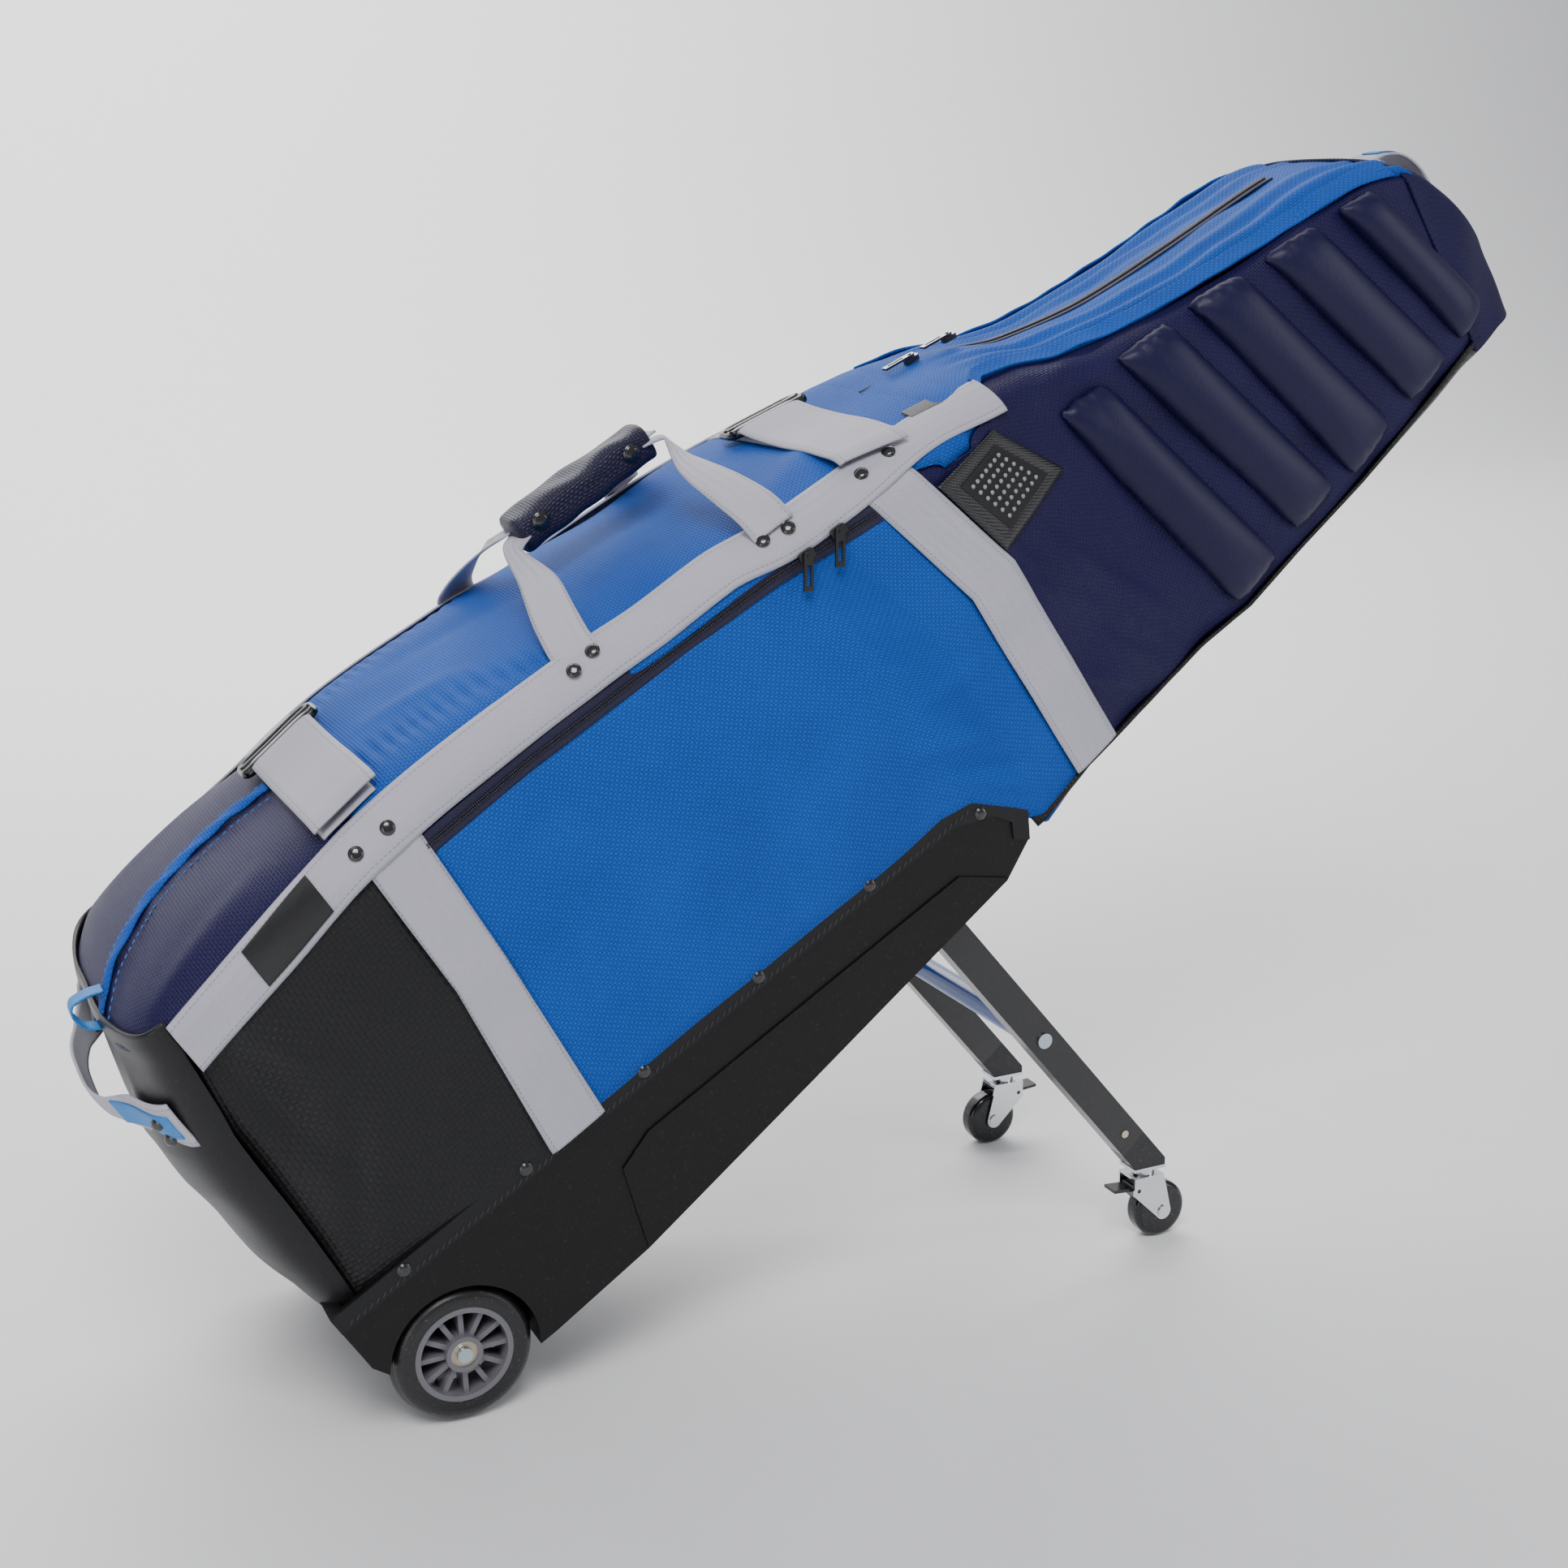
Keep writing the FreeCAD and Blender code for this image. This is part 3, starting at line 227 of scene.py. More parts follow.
def eased(at, places, values):
    """A smooth curve through the values: cubic pieces whose slopes never overshoot."""
    steps = np.diff(places)
    rises = np.diff(values) / steps
    before, after = rises[:-1], rises[1:]
    same = before * after > 0
    inner = np.where(same, 2.0 * before * after / np.where(same, before + after, 1.0), 0.0)
    slopes = np.concatenate([rises[:1], inner, rises[-1:]])
    at = np.clip(at, places[0], places[-1])
    index = np.clip(np.searchsorted(places, at, side="right") - 1, 0, len(places) - 2)
    step = steps[index]
    share = (at - places[index]) / step
    return (values[index] * (1 + 2 * share) * (1 - share) ** 2
            + slopes[index] * step * share * (1 - share) ** 2
            + values[index + 1] * share ** 2 * (3 - 2 * share)
            + slopes[index + 1] * step * share ** 2 * (share - 1))


def half_at(along):
    return eased(along, body_places, body_halves)


def low_at(along):
    return eased(along, body_places, body_lows)


def top_at(along):
    return eased(along, body_places, body_tops)


def shoulder_at(along):
    """Height where the flat side ends and the rounded shoulder starts."""
    return top_at(along) - 0.14 * (top_at(along) - low_at(along))


def stand(points):
    """Bag millimetres (along, across, up) to scene metres: turned by the tilt about the
    axle, then moved to it."""
    along, across, up = points[..., 0], points[..., 1], points[..., 2]
    x = (along * math.cos(TILT) - up * math.sin(TILT)) / 1000.0 + axle_place[0]
    z = (along * math.sin(TILT) + up * math.cos(TILT)) / 1000.0 + axle_place[2]
    return np.stack([x, across / 1000.0, z], -1)


def around(along, turn, lift=0.0):
    """A point on the body. Turn 0 is the right shoulder's foot, 1 the middle of the top
    and 2 the left shoulder's foot; below 0 and above 2 it runs down the side, 100 mm a
    unit. The shoulder is a third-power ellipse. Lift moves the point outwards."""
    half = half_at(along)
    foot = shoulder_at(along)
    rise = top_at(along) - foot
    angle = np.clip(turn, 0.0, 2.0) * math.pi / 2.0
    cos, sin = np.cos(angle), np.sin(angle)
    radius = (np.abs(cos) ** 3 + np.abs(sin) ** 3) ** (-1.0 / 3.0)
    across = -half * cos * radius
    up = foot + rise * sin * radius
    up = np.where(turn < 0, foot + 100.0 * turn, up)
    up = np.where(turn > 2, foot - 100.0 * (turn - 2.0), up)
    out_y = -cos * np.abs(cos * radius) / half
    out_z = sin * np.abs(sin * radius) / rise
    size = np.hypot(out_y, out_z) + 1e-12
    across = across + lift * out_y / size
    up = up + lift * out_z / size
    return np.stack([along + 0.0 * turn, across, up], -1)


def turn_at_height(along, up):
    """The turn of the point at a height on the right side."""
    foot = shoulder_at(along)
    rise = top_at(along) - foot
    share = np.clip((up - foot) / rise, 0.0, 0.9999)
    angle = np.arctan2(share, (1.0 - share ** 3) ** (1.0 / 3.0))
    return np.where(up < foot, (up - foot) / 100.0, angle * 2.0 / math.pi)


def turn_at_side(along, across):
    """The turn of the point above a sideways distance, from right (-) to left (+)."""
    share = np.clip(-across / half_at(along), -0.9999, 0.9999)
    size = np.abs(share)
    angle = np.arctan2((1.0 - size ** 3) ** (1.0 / 3.0), size)
    return np.where(share >= 0, angle, math.pi - angle) * 2.0 / math.pi


def waves(first, second, seed, size, count=14):
    """Slow folds: a sum of sine waves in many directions with random phases."""
    random = np.random.default_rng(seed)
    total = np.zeros(np.broadcast(first, second).shape)
    for angle, phase, stretch in zip(random.uniform(0, math.pi, count),
                                     random.uniform(0, 6.28, count),
                                     random.uniform(0.6, 1.7, count)):
        total += np.sin((first * math.cos(angle) + second * math.sin(angle))
                        * stretch * 6.28 / size + phase)
    return total / math.sqrt(count)


def crease(first, second, start, end, width, height):
    """A soft ridge from start to end: a bell across it that fades at both ends."""
    start, end = np.array(start, float), np.array(end, float)
    length = np.hypot(*(end - start))
    ahead = (end - start) / length
    run = (first - start[0]) * ahead[0] + (second - start[1]) * ahead[1]
    off = -(first - start[0]) * ahead[1] + (second - start[1]) * ahead[0]
    share = np.clip(run / length, 0.0, 1.0)
    fade = np.sin(share * math.pi) ** 0.7
    return height * fade * np.exp(-(off / width) ** 2)


def grid_piece(name, places, material, body="cover", slot=None, thick=0.0, closed=False,
               flip=False, uv=None, levels=0):
    """A mesh on a grid of places in metres, with a UV map in metres measured along its
    rows and columns; closed joins the last column to the first."""
    rows, columns = places.shape[:2]
    index = np.arange(rows * columns).reshape(rows, columns)
    if closed:
        index = np.concatenate([index, index[:, :1]], 1)
    quads = np.stack([index[:-1, :-1], index[1:, :-1], index[1:, 1:], index[:-1, 1:]], -1)
    quads = quads.reshape(-1, 4)
    wide = np.concatenate([places, places[:, :1]], 1) if closed else places
    if uv is None:
        run = np.zeros(wide.shape[:2])
        run[1:] = np.cumsum(np.linalg.norm(np.diff(wide, axis=0), axis=-1), 0)
        run = np.repeat(run.mean(1)[:, None], wide.shape[1], 1)
        side = np.zeros(wide.shape[:2])
        side[:, 1:] = np.cumsum(np.linalg.norm(np.diff(wide, axis=1), axis=-1), 1)
        side -= side[:, -1:] / 2.0
        uv = np.stack([run, side], -1)
    spot = np.arange(uv.shape[0] * uv.shape[1]).reshape(uv.shape[:2])
    corners = np.stack([spot[:-1, :-1], spot[1:, :-1], spot[1:, 1:], spot[:-1, 1:]], -1)
    corners = corners.reshape(-1, 4)
    if flip:
        quads, corners = quads[:, ::-1], corners[:, ::-1]
    mesh = bpy.data.meshes.new(name)
    mesh.from_pydata(places.reshape(-1, 3).tolist(), [], quads.tolist())
    layer = mesh.uv_layers.new(name="Cloth")
    layer.data.foreach_set("uv", uv.reshape(-1, 2)[corners.ravel()].ravel())
    mesh.polygons.foreach_set("use_smooth", [True] * len(mesh.polygons))
    made = bpy.data.objects.new(name, mesh)
    bpy.context.collection.objects.link(made)
    mesh.materials.append(material)
    if thick:
        wall = made.modifiers.new("Thickness", "SOLIDIFY")
        wall.thickness = thick
        wall.offset = -1.0
    if levels:
        finer = made.modifiers.new("Finer", "SUBSURF")
        finer.levels = levels
        finer.render_levels = levels
    if body:
        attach(made, body)
    return made


def other_side(places):
    """The same places on the left side of the bag."""
    return places * np.array([1.0, -1.0, 1.0])


def both_sides(name, places, material, **words):
    """The piece on the right side and its mirror on the left."""
    right = grid_piece(name + "_right", places, material, **words)
    left = grid_piece(name + "_left", other_side(places), material, flip=True, **words)
    return right, left


def edge_dip(first, second, wide, high, depth, reach):
    """How far a panel sinks at its seams: a bell of the distance to the nearest edge."""
    near = np.minimum(np.minimum(first * wide, (1 - first) * wide),
                      np.minimum(second * high, (1 - second) * high))
    return -depth * np.exp(-(near / reach) ** 2)


# Woven cloth: two sets of threads that pass over and under each other, from the UV map.
weave, given, result = new_group("Plain weave", {"Thread": 0.0012},
                                 ("Height", "Painted thread shade", "Tone"))
place = add(weave, "TexCoord").outputs["UV"]
scaled = add(weave, "VectorMath", {0: place, "Scale": maths(weave, "DIVIDE", 1.0,
                                                          given["Thread"])},
             operation="SCALE").outputs[0]
axes = add(weave, "SeparateXYZ", {0: scaled}).outputs
warp = maths(weave, "ABSOLUTE", maths(weave, "SINE", maths(weave, "MULTIPLY", axes[0], math.pi)))
weft = maths(weave, "ABSOLUTE", maths(weave, "SINE", maths(weave, "MULTIPLY", axes[1], math.pi)))
check = add(weave, "TexChecker", {"Vector": scaled, "Scale": 1.0}).outputs["Fac"]
over = maths(weave, "MULTIPLY", warp, maths(weave, "MULTIPLY_ADD", weft, 0.5, 0.5))
under = maths(weave, "MULTIPLY", weft, maths(weave, "MULTIPLY_ADD", warp, 0.5, 0.5))
height = add(weave, "Mix", {"Factor": check, 2: over, 3: under}).outputs[0]
weave.links.new(height, result["Height"])
# Painted shade: the colour darkens where a thread sinks between its neighbours, and it alternates with the
# checker of crossings.
weave.links.new(maths(weave, "MULTIPLY_ADD", check, 0.35, maths(weave, "MULTIPLY", height, 0.65)),
                result["Painted thread shade"])
slow = add(weave, "TexNoise", {"Vector": place, "Scale": 11.0, "Detail": 5.0}).outputs[0]
weave.links.new(slow, result["Tone"])


def cloth_finish(name, dark, colour, thread, depth, rough=0.72, sheen=0.25, tint=None,
                 slow_share=0.4, coat=0.0, gloss=0.35):
    """Woven cloth: painted shade between threads, slowly changing tone, and a soft sheen."""
    material = bpy.data.materials.new(name)
    material.use_nodes = True
    tree = material.node_tree
    shader = tree.nodes["Principled BSDF"]
    seen = place_group(tree, weave, {"Thread": thread})
    # Base colour: random slow tone mixed with the painted shade between threads.
    share = maths(tree, "MULTIPLY_ADD", seen["Tone"], slow_share,
                  maths(tree, "MULTIPLY", seen["Painted thread shade"], 1.0 - slow_share))
    tree.links.new(between(tree, share, dark, colour), shader.inputs["Base Color"])
    spread = maths(tree, "MULTIPLY_ADD", seen["Painted thread shade"], -0.12, rough + 0.06)
    tree.links.new(spread, shader.inputs["Roughness"])
    fine = place_group(tree, grain, {"Size": 0.004})
    first = add(tree, "Bump", {"Height": fine["Height"], "Strength": 0.35, "Distance": 0.0006})
    bump = add(tree, "Bump", {"Height": seen["Height"], "Strength": 0.7, "Distance": depth,
                              "Normal": first.outputs[0]})
    tree.links.new(bump.outputs[0], shader.inputs["Normal"])
    shader.inputs["Sheen Weight"].default_value = sheen
    shader.inputs["Sheen Roughness"].default_value = 0.4
    shader.inputs["Sheen Tint"].default_value = (*(tint or colour), 1.0)
    shader.inputs["Coat Weight"].default_value = coat
    shader.inputs["Coat Roughness"].default_value = 0.35
    shader.inputs["Specular IOR Level"].default_value = gloss
    return material


blue_cloth = cloth_finish("Blue nylon", (0.0005, 0.025, 0.17), (0.002, 0.115, 0.56), 0.0026,
                          0.0009, 0.68, 0.03, gloss=0.22)
navy_cloth = cloth_finish("Navy nylon", (0.002, 0.0012, 0.018), (0.012, 0.008, 0.075), 0.0026,
                          0.0006, 0.5, 0.03, (0.1, 0.08, 0.35), gloss=0.22)


# ---- Foot panels ----
# Coated black cloth at the wheel end: a panel on each side and one that wraps round the
# end, sewn together at the corner and turned in under the base's flange.
vinyl = cloth_finish("Coated cloth", (0.0025, 0.0025, 0.003), (0.011, 0.011, 0.0125), 0.0042,
                     0.0007, 0.48, 0.03, (0.3, 0.3, 0.3), gloss=0.32)
smooth_vinyl = hard_finish("Smooth coated cloth", (0.004, 0.004, 0.005), (0.008, 0.008, 0.009),
                           0.42, 0.0016, 0.00025, dust=0.05, gloss=0.35)
corner_heights = np.array([102.0, 160, 229, 271, 350, 380])
corner_places = np.array([-33.0, -28, -24, -23, -9, -10])
strap_heights = np.array([60.0, 101, 256, 370, 430])
lower_left = np.array([147.0, 148, 165, 166, 166])
lower_right = np.array([199.0, 200, 210, 214, 214])


def side_patch(left, right, low, high, rows, columns):
    """A grid on the right side: heights from low to high, and at each height places
    from the left edge to the right one. Edges are functions of height or place."""
    first, second = np.meshgrid(np.linspace(0, 1, rows), np.linspace(0, 1, columns),
                                indexing="ij")
    along = left(200.0 + 0 * second) * (1 - first) + right(200.0 + 0 * second) * first
    for _ in range(4):
        up = low(along) * (1 - second) + high(along) * second
        along = left(up) * (1 - first) + right(up) * first
    return first, second, along, up


def corner_edge(up):
    return np.interp(up, corner_heights, corner_places)


first, second, along, up = side_patch(
    corner_edge, lambda up: np.interp(up, strap_heights, lower_left) + 12.0,
    lambda along: 98.0 + 0 * along, lambda along: 372.0 + 0 * along, 90, 110)
lift = (edge_dip(first, second, 190.0, 270.0, 3.0, 9.0)
        + crease(along, up, (0, 350), (28, 170), 16, -8.0)
        + crease(along, up, (20, 345), (70, 250), 15, 5.0)
        + crease(along, up, (5, 120), (25, 260), 20, 5.0)
        + crease(along, up, (-20, 110), (60, 240), 12, -4.0)
        + crease(along, up, (70, 120), (110, 330), 34, 3.0)
        + 1.2 * waves(along, up, 3, 160.0)
        - 7.0 * np.exp(-(first / 0.25) ** 2) * np.sin(second * math.pi))
foot_sides = both_sides("foot_side", stand(around(along, turn_at_height(along, up), lift)),
                        vinyl, slot="black_vinyl", thick=0.003)

sweep, height = np.meshgrid(np.linspace(-1, 1, 90), np.linspace(0, 1, 80), indexing="ij")
up = 98.0 + 278.0 * height
depth = np.interp(up, [98, 160, 230, 300, 366, 380], [38, 50, 57, 53, 44, 36])
angle = sweep * math.pi / 2.0
reach = (np.abs(np.sin(angle)) ** 2.7 + np.abs(np.cos(angle)) ** 2.7) ** (-1 / 2.7)
edge_half = half_at(corner_edge(up)) - 0.5
across = edge_half * np.sin(angle) * reach
along = corner_edge(up) - depth * np.cos(angle) * reach
along = along - (1.2 * waves(across, up, 5, 120.0)
                 + crease(across, up, (-120, 120), (40, 200), 14, 3.0)
                 + crease(across, up, (-130, 330), (-20, 260), 12, 3.0))
foot_end = grid_piece("foot_end", stand(np.stack([along, across, up], -1)), smooth_vinyl,
                      slot="black_vinyl", thick=0.003, flip=True)
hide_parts("foot_panels")
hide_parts("foot_panels")
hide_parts("foot_panels")


# ---- Blue side panels ----
# One panel of heavy ballistic nylon on each side, between the two webbing uprights,
# from the base's flange up to the side zip and tucked round the base's nose.
upper_heights = np.array([0.0, 49, 240, 356, 430])
upper_left = np.array([688.0, 687, 679, 642, 618])
upper_right = np.array([740.0, 739, 732, 692, 662])


def under_side(along):
    """The side panel's lower edge: the flange, then down round the base's nose."""
    return np.interp(along, [0, 560, 590, 605, 622, 640, 700], [98, 98, 90, 74, 56, 34, 46])


first, second, along, up = side_patch(
    lambda up: np.interp(up, strap_heights, lower_right) - 8.0,
    lambda up: np.interp(up, upper_heights, upper_left) + 8.0,
    under_side, lambda along: np.interp(along, [200, 310, 430, 545, 640, 700],
                                        [367, 371, 370, 367, 356, 350]), 170, 120)
lift = (edge_dip(first, second, 450.0, 260.0, 3.0, 8.0)
        + 5.0 * np.sin(first * math.pi) * np.sin(second * math.pi) ** 0.8
        + 0.9 * waves(along, up, 8, 210.0)
        + crease(along, up, (560, 170), (650, 130), 9, 2.6)
        + crease(along, up, (575, 140), (655, 92), 8, -2.4)
        + crease(along, up, (590, 200), (668, 190), 9, 2.2)
        + crease(along, up, (600, 112), (660, 60), 7, 2.2)
        + crease(along, up, (215, 330), (330, 345), 14, 1.6))
side_panels = both_sides("side_panel", stand(around(along, turn_at_height(along, up), lift)),
                         blue_cloth, slot="blue_fabric", thick=0.003)
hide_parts("side_panel_right")
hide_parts("side_panel_left")


# ---- Shoe pocket and blue front panel ----
# The upper side of the bag: a navy pocket over the foot, then a blue panel that is
# eased into its side seams, so short puckers run across along two rows.
def top_patch(start, end, edge, rows, columns):
    """A grid over the top, from the edge's turn on the right side to the left one."""
    first, second = np.meshgrid(np.linspace(0, 1, rows), np.linspace(0, 1, columns),
                                indexing="ij")
    along = start + (end - start) * first
    low = edge(along)
    return first, second, along, low + (2.0 - 2.0 * low) * second


def seam_edge(along):
    return turn_at_height(along, 364.0 + 0 * along)


first, second, along, turn = top_patch(-62.0, 184.0, seam_edge, 110, 150)
across = (turn - 1.0) * 150.0
lift = (edge_dip(first, second, 246.0, 380.0, 2.5, 7.0)
        + 1.5 * waves(along, across, 12, 150.0)
        + crease(along, across, (-20, -90), (120, -60), 10, 2.6)
        + crease(along, across, (0, 60), (150, 90), 12, 3.0)
        + crease(along, across, (20, -110), (150, -95), 7, -2.0))
shoe_pocket = grid_piece("shoe_pocket_cloth", stand(around(along, turn, lift)), navy_cloth,
                         slot="navy_fabric", thick=0.003)
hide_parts("shoe_pocket")

first, second, along, turn = top_patch(178.0, 700.0, seam_edge, 330, 170)
across = np.sign(turn - 1.0) * np.abs(turn - 1.0) ** 1.0 * 150.0
row_place = np.interp(along, [180, 229, 272, 319, 360, 420, 700],
                      [50, 52, 59, 62, 75, 92, 96])
pucker = np.exp(-((np.abs(across) - row_place) / 9.0) ** 2)
lift = (edge_dip(first, second, 520.0, 380.0, 2.5, 7.0)
        - 1.6 * pucker
        + 0.9 * np.exp(-((np.abs(across) - row_place) / 13.0) ** 2)
        * np.clip((430.0 - along) / 60.0, 0.15, 1.0) * np.sin(along * 6.28 / 12.0 + 2.0 * np.sin(along / 21.0))
        + 1.8 * waves(along, across, 21, 170.0)
        + crease(along, across, (230, -20), (330, -45), 9, 3.0)
        + crease(along, across, (260, 30), (420, 10), 12, -3.0)
        + crease(along, across, (590, -60), (690, -30), 12, 4.0)
        + crease(along, across, (560, -95), (650, -110), 9, 2.5)
        + crease(along, across, (500, -80), (560, 60), 16, -2.5))
front_panel = grid_piece("front_cloth", stand(around(along, turn, lift)), blue_cloth,
                         slot="blue_fabric", thick=0.003)
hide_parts("front_panel")


# ---- Neck panels ----
# Navy sides that wrap over the shoulder, a blue pleated top that holds the long zip,
# and a coated black panel along the underside.
def flap_edge(along):
    """The turn of the seam between the navy side and the blue top of the neck."""
    across = np.interp(along, [690, 735, 775, 805, 900, 1000, 1100, 1180, 1260],
                       [-152, -147, -134, -96, -92, -96, -102, -106, -108])
    return turn_at_side(along, across)


def back_edge(along):
    return np.interp(along, [640, 700, 770, 830, 925, 1004, 1081, 1161, 1241, 1300],
                     [40, 50, 50, 47, 46, 60, 71, 88, 106, 110])


first, second = np.meshgrid(np.linspace(0, 1, 260), np.linspace(0, 1, 120), indexing="ij")
along = 0.0 * first
for _ in range(5):
    low_turn = turn_at_height(along, back_edge(along))
    turn = low_turn + (flap_edge(along) - low_turn) * second
    up = around(along, turn)[..., 2]
    left = np.interp(up, upper_heights, upper_right) - 8.0
    along = left + (1256.0 - left) * first
lift = (edge_dip(first, second, 520.0, 280.0, 2.5, 8.0)
        + 1.6 * waves(along, up, 31, 120.0)
        + crease(along, up, (700, 300), (770, 190), 9, 3.0)
        + crease(along, up, (725, 230), (800, 110), 10, 4.0)
        + crease(along, up, (742, 200), (830, 60), 8, -3.5)
        + crease(along, up, (760, 250), (860, 70), 11, 3.5)
        + crease(along, up, (720, 130), (790, 60), 9, 3.0)
        + crease(along, up, (790, 330), (960, 335), 7, 2.2)
        + crease(along, up, (860, 345), (1080, 326), 6, -2.0)
        + crease(along, up, (980, 330), (1180, 330), 8, 2.6))
neck_sides = both_sides("neck_side", stand(around(along, turn, lift)), navy_cloth,
                        slot="navy_fabric", thick=0.003)
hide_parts("neck_side_panels")
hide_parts("neck_side_panels")

first, second, along, turn = top_patch(684.0, 1256.0, flap_edge, 300, 150)
side_share = np.abs(second - 0.5) * 2.0
pleats = 2.6 * np.sin(side_share * 22.0 + 1.2 * np.sin(along / 90.0)) \
    * np.clip((along - 790.0) / 60.0, 0, 1) * np.clip(side_share * 3.0 - 0.4, 0, 1)
lift = (edge_dip(first, second, 560.0, 190.0, 2.5, 6.0) + pleats
        + 1.3 * waves(along, second * 200.0, 41, 110.0)
        + 5.0 * np.exp(-((along - 775.0) / 45.0) ** 2) * (1 - side_share ** 2))
neck_top = grid_piece("neck_top", stand(around(along, turn, lift)), blue_cloth,
                      slot="blue_fabric", thick=0.003)
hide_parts("neck_opening_panel")

along, across = np.meshgrid(np.linspace(630, 1256, 160), np.linspace(-1, 1, 60), indexing="ij")
half = half_at(along)
bottom = low_at(along)
edge_up = back_edge(along)
up = bottom + (edge_up - bottom) * np.clip((np.abs(across) - 0.86) / 0.14, 0, 1) ** 2
up = up - 1.5 * waves(along, across * half, 45, 160.0) * (1 - np.abs(across))
neck_back = grid_piece("neck_back", stand(np.stack(
    [along, across * (half + 0.5), up], -1)), vinyl, slot="black_vinyl", thick=-0.003,
    flip=True)
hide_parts("neck_back_panel")


# ---- Head cap ----
# The padded navy end of the neck: the body's sections carried on round the head and
# closed, with soft folds where the cloth is gathered into the last seam.
place, turn = np.meshgrid(np.linspace(0, 1, 70), np.linspace(0, 1, 120), indexing="ij")
along = 1246.0 + 92.0 * np.sin(place * math.pi / 2.0)
shrink = np.where(along > 1330.0, np.sqrt(np.clip(1 - ((along - 1330.0) / 8.0) ** 2, 0, 1)), 1.0)
core = np.minimum(along, 1330.0)
low_turn = turn_at_height(core, low_at(core) + 6.0)
ring = around(core, low_turn + (2.0 - 2.0 * low_turn) * turn,
              1.5 * waves(along, turn * 300.0, 51, 70.0) + 2.0)
middle = (top_at(core) + low_at(core)) / 2.0
ring[..., 0] = along
ring[..., 1] = ring[..., 1] * shrink
ring[..., 2] = middle + (ring[..., 2] - middle) * shrink
head_cap = grid_piece("head_cap_cloth", stand(ring), navy_cloth, slot="navy_fabric",
                      thick=0.003, closed=True)
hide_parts("head_cap")


# ---- Neck rolls ----
# Five foam-filled rolls on each side of the neck, each its own pocket of satin cloth
# sewn down along its edges, so that it swells between its seams and puckers at its ends.
roll_cloth = cloth_finish("Satin navy", (0.003, 0.002, 0.024), (0.013, 0.009, 0.082), 0.0022,
                          0.00045, 0.4, 0.03, (0.12, 0.1, 0.4), gloss=0.3)
roll_corners = np.array([
    [(837, 309), (893, 305), (973, 66), (912, 51)],
    [(909, 312), (972, 309), (1054, 84), (997, 72)],
    [(994, 313), (1055, 312), (1133, 98), (1072, 77)],
    [(1078, 316), (1140, 315), (1214, 114), (1158, 99)],
    [(1163, 314), (1206, 306), (1275, 132), (1234, 114)]], float)


under_flap = around(roll_corners[:, :2, 0], flap_edge(roll_corners[:, :2, 0]))[..., 2] - 5.0
roll_corners[:, :2, 1] = np.minimum(roll_corners[:, :2, 1], under_flap)


def roll_form(corners, rows, columns, rise):
    """A roll between four corners: its height is a flattened arch across it, closed at
    both ends, and its back lies just inside the neck's cloth."""
    down, over = np.meshgrid(np.linspace(0, 1, rows), np.linspace(0, 2, columns,
                             endpoint=False), indexing="ij")
    share = np.where(over <= 1.0, over, 2.0 - over)
    top = corners[0] + (corners[1] - corners[0]) * share[..., None]
    foot = corners[3] + (corners[2] - corners[3]) * share[..., None]
    flat = top + (foot - top) * down[..., None]
    arch = (1 - np.abs(2 * share - 1) ** 3.2) ** 0.6
    ends = (1 - np.abs(2 * down - 1) ** 9) ** 0.55
    fold = 1.6 * np.sin(share * 31.0) * np.exp(-((np.minimum(down, 1 - down)) / 0.07) ** 2)
    lift = np.where(over <= 1.0, rise * arch * ends + fold * arch, -1.5 * arch * ends)
    return around(flat[..., 0], turn_at_height(flat[..., 0], flat[..., 1]), lift)


def join_pieces(name, pieces):
    """Several finished mesh pieces made one, the first one's settings kept."""
    with bpy.context.temp_override(active_object=pieces[0], selected_editable_objects=pieces,
                                   object=pieces[0], selected_objects=pieces):
        bpy.ops.object.join()
    pieces[0].name = name
    pieces[0].data.name = name
    return pieces[0]


def baked(made):
    """Replaces a piece's mesh by what its modifiers make of it."""
    seen = made.evaluated_get(bpy.context.evaluated_depsgraph_get())
    mesh = bpy.data.meshes.new_from_object(seen)
    made.modifiers.clear()
    made.data = mesh
    return mesh


def read_places(mesh):
    flat = np.empty(len(mesh.vertices) * 3)
    mesh.vertices.foreach_get("co", flat)
    return flat.reshape(-1, 3)


def merge_ends(made):
    bpy.context.view_layer.objects.active = made
    weld = made.modifiers.new("Weld", "WELD")
    weld.merge_threshold = 0.0002
    baked(made)


def swell(made, voxel, pressure, cap, depth_of):
    """Blows a closed form up as cloth, pinned where it is sewn down, and no vertex moves
    further than the cap."""
    remesh = made.modifiers.new("Even mesh", "REMESH")
    remesh.mode = "VOXEL"
    remesh.voxel_size = voxel
    mesh = baked(made)
    before = read_places(mesh)
    pinned = made.vertex_groups.new(name="Sewn")
    pinned.add(np.nonzero(depth_of(before) < 0.0018)[0].tolist(), 1.0, "REPLACE")
    cloth = made.modifiers.new("Cloth", "CLOTH")
    cloth.settings.use_pressure = True
    cloth.settings.uniform_pressure_force = pressure
    cloth.settings.effector_weights.gravity = 0.0
    cloth.settings.vertex_group_mass = "Sewn"
    cloth.settings.tension_stiffness = 12.0
    cloth.settings.compression_stiffness = 12.0
    cloth.settings.bending_stiffness = 0.3
    cloth.collision_settings.use_collision = False
    for step in range(1, 21):
        bpy.context.scene.frame_set(step)
    mesh = baked(made)
    after = read_places(mesh)
    bpy.context.scene.frame_set(1)
    move = after - before
    far = np.linalg.norm(move, axis=1, keepdims=True)
    after = before + move * np.minimum(1.0, cap / np.maximum(far, 1e-9))
    mesh.vertices.foreach_set("co", after.ravel())
    mesh.update()


